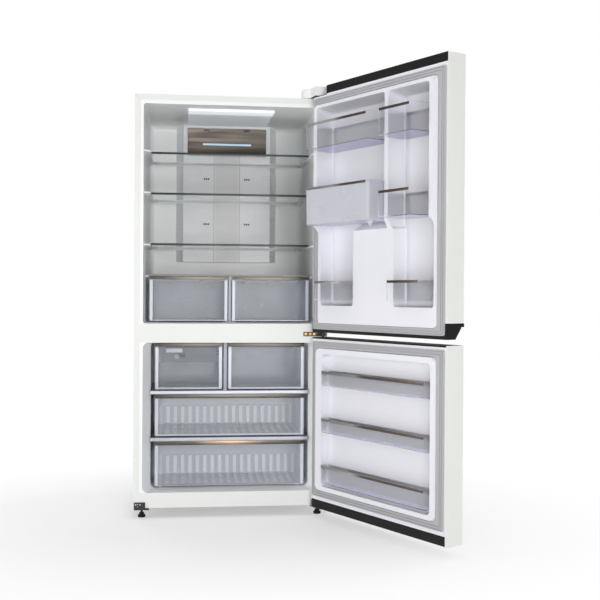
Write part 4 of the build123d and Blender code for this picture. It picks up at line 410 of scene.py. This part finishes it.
def make_bin_plastic():
    """Door bins: colourless walls, and floors in which a violet tint gathers."""
    material, tree, surface = start_material("clear_bins")
    level = spread(tree, calculate(tree, "ABSOLUTE", facing_up(tree)), 0.8, 0.95, 0.0, 1.0)
    gathered = spread(tree, seen_edge_on(tree, 0.3), 0.5, 1.0, 0.0, 1.0)
    wall = blend_colours(tree, gathered, tint(255, 255, 255), tint(236, 238, 250))
    feed_inputs(tree, surface, Base_Color=blend_colours(tree, level, wall, tint(220, 223, 249)),
                Roughness=handled(tree, 0.03, 0.015, 12.0), Transmission_Weight=1.0, IOR=1.1)
    ripple_surface(tree, surface, 0.03)
    let_light_through(tree, surface, (0.99, 0.99, 1.0, 1))
    return material


def make_tank_plastic():
    """The water tank: milky, smooth, a little bluer where it is seen edge on."""
    material, tree, surface = start_material("milky_tank")
    graze = seen_edge_on(tree, 0.4)
    body = drifting(tree, tint(232, 233, 237), tint(222, 223, 232), 6.0, 0.6)
    shade = blend_colours(tree, spread(tree, graze, 0.5, 1.0, 0.0, 1.0), body, tint(214, 217, 240))
    feed_inputs(tree, surface, Base_Color=shade, Roughness=handled(tree, 0.3, 0.05, 9.0),
                Alpha=spread(tree, graze, 0.2, 1.0, 0.42, 0.85))
    grain_surface(tree, surface, 500.0, 0.2, 0.1, 0.00006)
    return material


def make_duct_finish():
    """The duct's cover: three fields with fine joints below the plate, the joints darkened as painted
    shade, the middle field greyer, partly as painted shade.
    """
    material, tree, surface = start_material("duct_white")
    axes = object_axes(tree)
    out = calculate(tree, "ABSOLUTE", axes["X"])
    below = spread(tree, axes["Z"], PLATE_BOTTOM - 0.002, PLATE_BOTTOM, 1.0, 0.0)
    from_joint = calculate(tree, "ABSOLUTE", calculate(tree, "SUBTRACT", out, DUCT_JOINT))
    # painted shade in the joints' fine grooves
    joint = spread(tree, from_joint, 0.0006, 0.0018, 0.7, 0.0)
    # the middle field greyer: partly its own tone, partly painted shade
    middle = spread(tree, out, DUCT_JOINT - 0.012, DUCT_JOINT + 0.002, 0.6, 0.0)
    plain = drifting(tree, tint(246, 247, 247), tint(236, 238, 242), 3.0, 0.7)
    shade = blend_colours(tree, times(tree, middle, below), plain, tint(214, 214, 212))
    shade = blend_colours(tree, times(tree, joint, below), shade, tint(140, 142, 144))
    feed_inputs(tree, surface, Base_Color=shade, Roughness=handled(tree, 0.3, 0.05, 6.0))
    grain_surface(tree, surface, 240.0, 0.4, 0.25, 0.00006)
    return material


def make_duct_plate():
    """Brushed bronze with a painted reflection: dark along its foot, with a paler sheen across its upper
    left.
    """
    material, tree, surface = start_material("bronze_brushed")
    axes = object_axes(tree)
    lines = use_group(tree, brushing, Fine=700.0, Contrast=1.4)
    # painted reflection: dark from the foot up, with a paler streaked sheen across the upper left
    rise = spread(tree, axes["Z"], PLATE_BOTTOM + 0.01, PLATE_BOTTOM + 0.075, 0.0, 1.0)
    leftward = spread(tree, axes["X"], -PLATE_SIDE, PLATE_SIDE - 0.03, 1.0, 0.25)
    streak = noise(tree, on_surface(tree, (1.5, 1, 24)), 1.6, 2.0)
    sheen = times(tree, spread(tree, streak, 0.4, 0.62, 0.0, 1.0), times(tree, rise, leftward))
    foot = blend_colours(tree, rise, tint(36, 32, 28), tint(84, 80, 75))
    shade = blend_colours(tree, sheen, foot, tint(136, 126, 115))
    shade = blend_colours(tree, times(tree, lines["Line"], 0.35), shade, tint(46, 43, 40))
    feed_inputs(tree, surface, Base_Color=shade, Metallic=1.0)
    brush_surface(tree, surface, lines, 0.3, 0.42)
    return material


def make_foil():
    """Bronze foil with painted reflections: a painted copper glint in the middle of the bottom drawer, and
    pale to dark along the doors.
    """
    material, tree, surface = start_material("foil_bronze")
    axes = object_axes(tree)
    lines = use_group(tree, brushing, Fine=1000.0, Contrast=1.5)
    body = blend_colours(tree, lines["Line"], tint(66, 63, 58), tint(106, 101, 94))
    # painted reflection along the doors: pale near the hinge, darker farther out
    on_doors = spread(tree, axes["Y"], DOORS_BACK, 0.0, 1.0, 0.0)
    near_hinge = spread(tree, axes["Y"], FOIL_TURNS - 0.06, FOIL_TURNS, 0.0, 1.0)
    pale = times(tree, on_doors, near_hinge)
    dark = times(tree, on_doors, calculate(tree, "SUBTRACT", 1.0, near_hinge))
    # painted glint: a copper glow across the middle of the bottom drawer's strip
    central = spread(tree, calculate(tree, "ABSOLUTE", axes["X"]), 0.0, 0.16, 0.8, 0.0)
    painted_glint = times(tree, central, spread(tree, axes["Z"], 0.33, 0.36, 1.0, 0.0))
    body = blend_colours(tree, painted_glint, body, tint(172, 142, 110))
    body = blend_colours(tree, pale, body, tint(196, 195, 190))
    body = blend_colours(tree, times(tree, dark, 0.6), body, tint(104, 88, 80))
    feed_inputs(tree, surface, Base_Color=body, Metallic=1.0)
    brush_surface(tree, surface, lines, 0.26, 0.38)
    return material


def make_shelf_edge():
    """A shelf's trim: dark along the front edge, pale at the rear edge."""
    material, tree, surface = start_material("shelf_edge")
    rear = spread(tree, object_axes(tree)["Y"], SHELF_MIDDLE, SHELF_MIDDLE + 0.01, 0.0, 1.0)
    line = use_group(tree, brushing, Fine=900.0, Contrast=1.2)["Line"]
    dark = blend_colours(tree, line, tint(26, 27, 28), tint(50, 52, 52))
    pale = drifting(tree, tint(226, 230, 230), tint(206, 212, 213), 12.0, 0.6)
    feed_inputs(tree, surface, Base_Color=blend_colours(tree, rear, dark, pale),
                Roughness=handled(tree, 0.36, 0.06, 14.0))
    grain_surface(tree, surface, 900.0, 0.2, 0.2, 0.00006)
    return material


def make_frame_finish():
    """Silvery bars below; above them grey-blue dividers and the dark trim of the crisper's glass."""
    material, tree, surface = start_material("frame_silver")
    axes = object_axes(tree)
    lines = use_group(tree, brushing, Fine=900.0, Contrast=1.2)
    silver = blend_colours(tree, lines["Line"], tint(132, 134, 144), tint(180, 182, 192))
    wall = drifting(tree, tint(176, 180, 196), tint(158, 163, 180), 9.0, 0.5)
    trim = blend_colours(tree, lines["Line"], tint(92, 92, 90), tint(128, 127, 122))
    above = spread(tree, axes["Z"], BARS_TOP, BARS_TOP + 0.002, 0.0, 1.0)
    on_glass = spread(tree, axes["Z"], CRISPER_TOP - 0.0002, CRISPER_TOP + 0.0002, 0.0, 1.0)
    shade = blend_colours(tree, on_glass, blend_colours(tree, above, silver, wall), trim)
    feed_inputs(tree, surface, Base_Color=shade, Metallic=spread(tree, above, 0.0, 1.0, 0.7, 0.0))
    brush_surface(tree, surface, lines, 0.26, 0.4)
    return material


def make_lamp_lens():
    """Frosted lens with fine prisms across it; the bar in the duct's plate is blue-white; the whole slot
    has a painted glow.
    """
    material, tree, surface = start_material("lamp_lens_frosted")
    axes = object_axes(tree)
    in_plate = spread(tree, axes["Z"], OVER_LIGHT_BAR, OVER_LIGHT_BAR + 0.01, 1.0, 0.0)
    on_ceiling = spread(tree, axes["Y"], BEHIND_LAMP, BEHIND_LAMP + 0.002, 1.0, 0.0)
    cloud = noise(tree, on_surface(tree), 14.0, 3.0)
    frost = blend_colours(tree, spread(tree, cloud, 0.3, 0.7, 0.0, 1.0), tint(236, 240, 243),
                          tint(214, 222, 230))
    # painted glow: the ceiling lamp's lens and the plate's bar glow brightly, every other part in this
    # slot dimly
    glow = blend_colours(tree, in_plate, tint(250, 252, 255), tint(190, 220, 245))
    lit = calculate(tree, "MAXIMUM", in_plate, on_ceiling)
    glow = blend_colours(tree, lit, (0.4, 0.42, 0.44, 1), glow)
    feed_inputs(tree, surface, Roughness=handled(tree, 0.42, 0.06, 20.0), Emission_Color=glow,
                Base_Color=blend_colours(tree, in_plate, frost, tint(176, 205, 226)),
                Emission_Strength=0.5)
    prisms = place(tree, "ShaderNodeTexWave", {"bands_direction": "X"}, Vector=on_surface(tree),
                   Scale=90.0, Detail=0.0).outputs["Fac"]
    raise_surface(tree, surface, prisms, 0.5, 0.0008)
    return material


def make_cut_foam():
    """Rigid foam: small closed cells."""
    material, tree, surface = start_material("foam_cells")
    cells = place(tree, "ShaderNodeTexVoronoi", Vector=on_surface(tree),
                  Scale=420.0).outputs["Distance"]
    shade = blend_colours(tree, cells, tint(226, 206, 158), tint(243, 231, 196))
    feed_inputs(tree, surface, Base_Color=shade, Roughness=spread(tree, cells, 0.0, 1.0, 0.7, 0.95))
    raise_surface(tree, surface, cells, 0.6, 0.0006)
    return material


# ---------------------------------------------------------------- finishes by the CAD's slots
finishes = {
    "white_steel": paint("enamel_white", tint(235, 237, 233), tint(231, 233, 229), 0.4, 0.03,
                         420.0, 0.1, 0.00003, Specular_IOR_Level=0.35),
    "back_steel": paint("back_sheet_grey", tint(176, 178, 180), tint(160, 163, 166), 0.42, 0.08,
                        700.0, 0.5, 0.0001, Metallic=0.35),
    "zinc_steel": plated_steel("zinc_plating", tint(178, 182, 186), tint(136, 141, 146), 0.38),
    "black_steel": paint("black_lacquer", tint(22, 22, 23), tint(34, 34, 35), 0.36, 0.1, 900.0,
                         0.4, 0.0001, dust=0.25),
    "yellow_screws": plated_steel("yellow_plating", tint(172, 134, 70), tint(128, 98, 48), 0.38),
    "fin_aluminium": drawn_metal("fin_sheet", tint(150, 153, 156), tint(205, 208, 210), 0.34,
                                 700.0, 1.2),
    "liner_plastic": paint("liner_white", tint(248, 249, 248), tint(243, 245, 245), 0.36, 0.05,
                           240.0, 0.4, 0.00006, Coat_Weight=0.1, Coat_Roughness=0.25),
    "white_plastic": paint("moulded_white", tint(236, 238, 236), tint(228, 231, 230), 0.38, 0.07,
                           800.0, 0.3, 0.00008),
    "black_plastic": paint("moulded_black", tint(10, 10, 10), tint(18, 18, 18), 0.5, 0.08, 1600.0,
                           0.2, 0.0002, dust=0.03, Specular_IOR_Level=0.25),
    "grey_trim": paint("moulded_grey", tint(148, 151, 154), tint(132, 135, 139), 0.4, 0.07, 900.0,
                       0.3, 0.0001),
    "dark_trim": drawn_metal("dark_strip", tint(48, 50, 51), tint(92, 95, 95), 0.3, 900.0, 1.6),
    "silver_trim": drawn_metal("silver_strip", tint(150, 152, 155), tint(216, 218, 222), 0.22,
                               900.0, 1.3),
    "bronze_plate": make_duct_plate(),
    "lamp_lens": make_lamp_lens(),
    "clear_plastic": make_bin_plastic(),
    "shelf_glass": make_shelf_glass(),
    "gasket": paint("gasket_soft", tint(182, 182, 184), tint(172, 172, 175), 0.6, 0.06, 500.0,
                    0.6, 0.0001),
    "foam": make_cut_foam(),
}
foil = make_foil()
ice_housing = paint("moulded_slate", tint(82, 86, 91), tint(70, 74, 79), 0.42, 0.07, 900.0,
                    0.3, 0.0001)
label_blank = paint("label_blank", tint(226, 229, 231), tint(214, 218, 221), 0.3, 0.05, 300.0,
                    0.4, 0.00005)
# the doors' liner: the cabinet's liner a little darker and more lavender, partly its own tint and partly
# painted shade
door_liner = paint("liner_door", tint(240, 240, 246), tint(235, 235, 243), 0.36, 0.05, 240.0, 0.4,
                   0.00006, Coat_Weight=0.1, Coat_Roughness=0.25)
tank_plastic = make_tank_plastic()
shelf_edge = make_shelf_edge()

# ---------------------------------------------------------------- finishes of single nodes
own_finish = {
    "ice_maker_frame": ice_housing,
    "duct_cover": make_duct_finish(),
    "upper_door_liner": door_liner,
    "lower_door_liner": door_liner,
    "water_tank": tank_plastic,
    "tank_lid": tank_plastic,
    "foot_left": finishes["black_plastic"],
    "foot_right": finishes["black_plastic"],
    "drawer_frames": make_frame_finish(),
    "shelf_1_trim": shelf_edge,
    "shelf_2_trim": shelf_edge,
    "shelf_3_trim": shelf_edge,
}
# painted shade: the crispers and the upper freezer drawers take darker tones, for their insides in shade
SHADED_CLEAR = (tint(166, 173, 184), tint(222, 225, 240))     # seen straight, and edge on
PALE_CLEAR = (tint(232, 236, 242), tint(226, 229, 244))
# a drawer, y of its face, how solid its face and its rest look, its tones, the top of its ribs
for node, front, see, back, tones, rib_top in (
    ("crisper_left", CRISPER_FRONT, 0.16, 0.42, SHADED_CLEAR, None),
    ("crisper_right", CRISPER_FRONT, 0.16, 0.42, SHADED_CLEAR, None),
    ("freezer_drawer_upper_left", FREEZER_FRONT, 0.14, 0.3, SHADED_CLEAR, None),
    ("freezer_drawer_upper_right", FREEZER_FRONT, 0.16, 0.36, SHADED_CLEAR, None),
    ("freezer_drawer_middle", FREEZER_FRONT, 0.14, 0.85, PALE_CLEAR, 0.437),
    ("freezer_drawer_bottom", FREEZER_FRONT, 0.14, 0.85, PALE_CLEAR, 0.217),
):
    own_finish[node] = drawer_plastic(node, front, see, back, tones, rib_top)

for name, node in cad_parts.items():
    for held in node.material_slots:
        held.material = own_finish.get(name) or finishes[held.material.name.split(".")[0]]


# ---------------------------------------------------------------- modelling helpers
def clear_selection():
    """Leave edit mode and select nothing."""
    if bpy.context.object and bpy.context.object.mode != "OBJECT":
        bpy.ops.object.mode_set(mode="OBJECT")
    bpy.ops.object.select_all(action="DESELECT")


def finish_piece(obj, name, material, body):
    """Place into the mesh, then the name, the finish and the body."""
    bpy.ops.object.transform_apply(location=True, rotation=True, scale=True)
    obj.name = name
    obj.data.name = name
    obj.data.materials.clear()
    obj.data.materials.append(material)
    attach(obj, body)


def rounded_bar(name, middle, size, turn, bevel, material, body):
    """A bar with rounded edges, turned about z."""
    clear_selection()
    bpy.ops.mesh.primitive_cube_add(size=1, location=middle, rotation=(0, 0, turn))
    bar = bpy.context.object
    bar.scale = size
    bpy.ops.object.transform_apply(location=False, rotation=False, scale=True)
    bpy.ops.object.mode_set(mode="EDIT")
    bpy.ops.mesh.select_all(action="SELECT")
    bpy.ops.mesh.bevel(offset=bevel, segments=2, profile=0.6)
    bpy.ops.object.mode_set(mode="OBJECT")
    bpy.ops.object.shade_smooth_by_angle(angle=math.radians(35))
    finish_piece(bar, name, material, body)


def screw_head(name, middle, facing, radius):
    """A zinc-plated screw of the cabinet: a domed head with a cross recess, looking along facing."""
    dome = radius * 0.42
    clear_selection()
    bpy.ops.mesh.primitive_uv_sphere_add(segments=28, ring_count=14, radius=1, location=(0, 0, 0))
    head = bpy.context.object
    head.scale = (radius, radius, dome)
    bpy.ops.object.transform_apply(location=False, rotation=False, scale=True)
    mesh = bmesh.new()
    mesh.from_mesh(head.data)
    bmesh.ops.bisect_plane(mesh, geom=mesh.verts[:] + mesh.edges[:] + mesh.faces[:],
                           plane_co=(0, 0, 0), plane_no=(0, 0, -1), clear_outer=True)
    bmesh.ops.holes_fill(mesh, edges=mesh.edges[:])
    mesh.to_mesh(head.data)
    mesh.free()
    for turn in (0, math.pi / 2):
        clear_selection()
        bpy.ops.mesh.primitive_cube_add(size=1, location=(0, 0, dome), rotation=(0, 0, turn))
        tool = bpy.context.object
        tool.scale = (radius * 1.1, radius * 0.2, radius * 0.3)
        bpy.ops.object.transform_apply(location=True, rotation=True, scale=True)
        cut = head.modifiers.new("recess", "BOOLEAN")
        cut.operation = "DIFFERENCE"
        cut.object = tool
        clear_selection()
        head.select_set(True)
        bpy.context.view_layer.objects.active = head
        bpy.ops.object.modifier_apply(modifier="recess")
        bpy.data.objects.remove(tool, do_unlink=True)
    bpy.ops.object.shade_smooth_by_angle(angle=math.radians(40))
    head.rotation_euler = Vector(facing).to_track_quat("Z", "Y").to_euler()
    head.location = middle
    finish_piece(head, name, finishes["zinc_steel"], "cabinet")


# ---------------------------------------------------------------- foil strips on drawers and bins
FOIL_T = 0.0006
FOIL_SUNK = 0.00005                         # how far a strip's back stands in the plastic
CRISPER_FOIL, FREEZER_FOIL = 0.015, 0.018   # height of the drawers' bands
BIN_FOIL, LID_FOIL = 0.0102, 0.0095         # height of the strips on the doors
BIN_BAND_T = 0.0008                         # the raised band of a bin, which carries its foil
BAND_MIDDLE = 0.0055                        # from a bin's top down to the middle of its band
BIN_CORNER = 0.013                          # free at each end of a bin's band
WIDE_FACE, SMALL_FACE, LOWER_FACE = -0.143, -0.1045, -0.0655    # the bins' fronts, inwards


def foil_strip(name, middle, length, height, turn, body):
    """A strip of bronze foil, upright, along x or turned about z."""
    rounded_bar(name, middle, (length, FOIL_T, height), turn, 0.0002, foil, body)


for node, body, band in (
    ("crisper_left", "left_crisper", CRISPER_FOIL),
    ("crisper_right", "right_crisper", CRISPER_FOIL),
    ("freezer_drawer_upper_left", "ice_drawer", FREEZER_FOIL),
    ("freezer_drawer_upper_right", "upper_drawer", FREEZER_FOIL),
    ("freezer_drawer_middle", "middle_drawer", FREEZER_FOIL),
    ("freezer_drawer_bottom", "bottom_drawer", FREEZER_FOIL),
):
    low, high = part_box(node)
    middle = ((low.x + high.x) / 2, low.y - FOIL_T / 2 + FOIL_SUNK, high.z - band / 2)
    foil_strip(node + "_foil", middle, high.x - low.x - 0.004, band - 0.001, 0, body)

# a strip, its body, the bin's two ends along the door, its front, its top, how each end tapers
for name, body, start, end, face, top, taper in (
    ("upper_bin_wide_foil", "upper_door", 0.054, 0.484, WIDE_FACE, 1.684, 0.005),
    ("upper_bin_right_foil", "upper_door", 0.525, 0.741, WIDE_FACE, 1.682, 0.008),
    ("upper_bin_middle_foil", "upper_door", 0.525, 0.741, WIDE_FACE, 1.367, 0.008),
    ("small_bin_left_foil", "upper_door", 0.057, 0.266, SMALL_FACE, 1.026, 0.006),
    ("small_bin_right_foil", "upper_door", 0.536, 0.751, SMALL_FACE, 1.026, 0.006),
    ("lower_bin_top_foil", "lower_door", 0.068, 0.740, LOWER_FACE, 0.644, 0.002),
    ("lower_bin_middle_foil", "lower_door", 0.068, 0.740, LOWER_FACE, 0.443, 0.002),
    ("lower_bin_bottom_foil", "lower_door", 0.068, 0.740, LOWER_FACE, 0.243, 0.002),
):
    out = face - BIN_BAND_T - FOIL_T / 2 + FOIL_SUNK
    middle = on_door((start + end) / 2, out, top - BAND_MIDDLE)
    foil_strip(name, middle, end - start - 2 * (taper + BIN_CORNER), BIN_FOIL, DOOR_TURN, body)
foil_strip("tank_lid_foil", on_door(0.269, WIDE_FACE - FOIL_T / 2 + FOIL_SUNK, 1.411), 0.394,
           LID_FOIL, DOOR_TURN, "lid")

# ---------------------------------------------------------------- ice maker, as seen through its drawer
WINDOW = Vector((-0.221, 0.1345, 0.6925))
WINDOW_BAR_PITCH = 0.0135
rounded_bar("ice_maker_label", (-0.2475, 0.1329, 0.7155), (0.071, 0.0012, 0.017), 0, 0.0004,
            label_blank, "cabinet")
rounded_bar("ice_maker_window", WINDOW, (0.046, 0.003, 0.014), 0, 0.001,
            finishes["black_plastic"], "cabinet")
for number in (1, 2, 3):
    middle = WINDOW + Vector(((number - 2) * WINDOW_BAR_PITCH, -0.0018, 0))
    rounded_bar(f"ice_maker_window_bar_{number}", middle, (0.0016, 0.0016, 0.012), 0, 0.0004,
                ice_housing, "cabinet")

# ---------------------------------------------------------------- dark strips on the glass shelves' fronts
STRIP_SIZE = (0.706, 0.0009, 0.0096)
for number, underside in enumerate(SHELF_HEIGHTS, start=1):
    rounded_bar(f"shelf_{number}_strip", (0, SHELF_FRONT - 0.0004, underside + 0.0032), STRIP_SIZE,
                0, 0.0003, shelf_edge, f"shelf_{number}")

# ---------------------------------------------------------------- dark plates behind the air outlets: painted shade inside the duct
VENT_SHADE_Y = 0.5388
VENT_SHADE_SIZE = (0.036, 0.0012, 0.012)
for row, z in enumerate((1.764, 1.527, 1.308), start=1):
    for label, x in (("left", -0.0985), ("right", 0.0975)):
        rounded_bar(f"painted_vent_shade_{label}_{row}", (x, VENT_SHADE_Y, z), VENT_SHADE_SIZE, 0, 0.0004,
                    finishes["black_plastic"], "cabinet")

# ---------------------------------------------------------------- screws
FORWARD, BACKWARD = (0, -1, 0), (0, 1, 0)
BRACKET_SCREW, BACK_SCREW = 0.0042, 0.0045  # radius of the heads
BRACKET_FACE = -0.004                       # y of the bottom bracket's front
BACK_FACE, COVER_FACE = 0.6408, 0.6415      # y of the back sheet and of the compressor's cover
BACK_COLUMN = 0.405                         # x of the back sheet's outer screws, to each side
for number, x in enumerate((-0.408, -0.390), start=1):
    screw_head(f"bracket_screw_{number}", (x, BRACKET_FACE, 0.0595), FORWARD, BRACKET_SCREW)
for side, label in ((-1, "left"), (1, "right")):
    for number, z in enumerate((0.34, 0.70, 1.06, 1.42, 1.78), start=1):
        screw_head(f"back_screw_{label}_{number}", (side * BACK_COLUMN, BACK_FACE, z), BACKWARD,
                   BACK_SCREW)
    for number, x in enumerate((0.12, 0.30), start=1):
        for row, y, z in (
            ("back_screw_top", BACK_FACE, 1.812),
            ("cover_screw", COVER_FACE, 0.278),
            ("cover_screw_low", COVER_FACE, 0.056),
        ):
            screw_head(f"{row}_{label}_{number}", (side * x, y, z), BACKWARD, BACK_SCREW)


# ---------------------------------------------------------------- floor, light and camera
WHITE = (1, 1, 1, 1)
CAMERA_PLACE = Vector((-0.22635, -4.33564, 0.97228))    # solved from the cabinet's edges
CAMERA_TURN = (6.901, -0.365, 0.360)                    # yaw, pitch and roll in degrees
CAMERA_LENS, CAMERA_SENSOR = 59.79, 36                  # in millimetres


def make_floor():
    """A plain pale floor that keeps the shadow and runs out into white away from the object."""
    clear_selection()
    bpy.ops.mesh.primitive_plane_add(size=40, location=(0, 0, 0))
    floor = bpy.context.object
    floor.name = "studio_floor"
    material, tree, surface = start_material("floor_pale")
    cloud = noise(tree, on_surface(tree), 0.7, 2.0)
    feed_inputs(tree, surface, Roughness=0.9, Specular_IOR_Level=0.1,
                Base_Color=blend_colours(tree, cloud, tint(247, 247, 247), tint(251, 251, 251)))
    path = tree.nodes.new("ShaderNodeLightPath").outputs
    seen = calculate(tree, "MAXIMUM", path["Is Camera Ray"],
                     calculate(tree, "MAXIMUM", path["Is Glossy Ray"], path["Is Transmission Ray"]))
    distance = place(tree, "ShaderNodeVectorMath", {"operation": "LENGTH"},
                     Vector=on_surface(tree, (0.8, 1.0, 0))).outputs["Value"]
    away = place(tree, "ShaderNodeMapRange", {"interpolation_type": "SMOOTHSTEP"}, Value=distance,
                 From_Min=0.35, From_Max=1.5, To_Min=0.45, To_Max=1.0).outputs[0]
    glow = place(tree, "ShaderNodeEmission", Color=WHITE, Strength=1.0)
    show_instead(tree, mix_shaders(tree, times(tree, seen, away), surface.outputs[0],
                                   glow.outputs[0]))
    floor.data.materials.append(material)


def make_world():
    """Even white surroundings: white to the eye, softer as a light."""
    world = bpy.data.worlds.new("studio")
    bpy.context.scene.world = world
    world.use_nodes = True
    tree = world.node_tree
    tree.nodes.clear()
    path = tree.nodes.new("ShaderNodeLightPath").outputs
    seen = calculate(tree, "MAXIMUM", path["Is Camera Ray"], path["Is Transmission Ray"])
    lit = place(tree, "ShaderNodeBackground", Color=WHITE, Strength=0.36)
    white = place(tree, "ShaderNodeBackground", Color=WHITE, Strength=1.0)
    place(tree, "ShaderNodeOutputWorld",
          Surface=mix_shaders(tree, seen, lit.outputs[0], white.outputs[0]))


def make_lamp(name, where, aim, width, height, power):
    """A soft lamp that looks at a point."""
    data = bpy.data.lights.new(name, "AREA")
    data.shape = "RECTANGLE"
    data.size = width
    data.size_y = height
    data.energy = power
    lamp = bpy.data.objects.new(name, data)
    bpy.context.scene.collection.objects.link(lamp)
    lamp.location = where
    lamp.rotation_euler = (Vector(aim) - Vector(where)).to_track_quat("-Z", "Y").to_euler()


def make_camera():
    """The camera at the photograph's place and angle."""
    yaw, pitch, roll = (math.radians(angle) for angle in CAMERA_TURN)
    forward = Vector((math.sin(yaw) * math.cos(pitch), math.cos(yaw) * math.cos(pitch),
                      math.sin(pitch)))
    right = Vector((math.cos(yaw), -math.sin(yaw), 0))
    up = right.cross(forward)
    turned_right = right * math.cos(roll) + up * math.sin(roll)
    turned_up = up * math.cos(roll) - right * math.sin(roll)
    data = bpy.data.cameras.new("photo_camera")
    data.sensor_width = CAMERA_SENSOR
    data.lens = CAMERA_LENS
    camera = bpy.data.objects.new("photo_camera", data)
    bpy.context.scene.collection.objects.link(camera)
    turn = Matrix((turned_right, turned_up, -forward)).transposed().to_4x4()
    camera.matrix_world = Matrix.Translation(CAMERA_PLACE) @ turn
    bpy.context.scene.camera = camera


make_floor()
make_world()
make_lamp("key", (-4.2, -1.3, 1.1), (0.4, -0.1, 1.0), 1.8, 1.8, 60)
make_lamp("front", (0.5, -5.4, 1.05), (0.0, 0.3, 1.0), 2.6, 1.9, 118)
make_lamp("top", (0.2, -0.2, 4.4), (0.2, 0.0, 0.0), 2.0, 2.0, 34)
make_lamp("right", (3.8, 1.4, 1.6), (0.5, 0.0, 1.0), 1.6, 1.6, 46)
make_lamp("back", (-2.2, 4.2, 1.8), (0.0, 0.4, 1.0), 1.6, 1.6, 50)
make_camera()

scene = bpy.context.scene
scene.view_settings.view_transform = "Standard"
scene.cycles.max_bounces = 24
scene.cycles.diffuse_bounces = 12
scene.cycles.transmission_bounces = 24
scene.cycles.transparent_max_bounces = 32
scene.cycles.caustics_refractive = False
scene.cycles.caustics_reflective = False
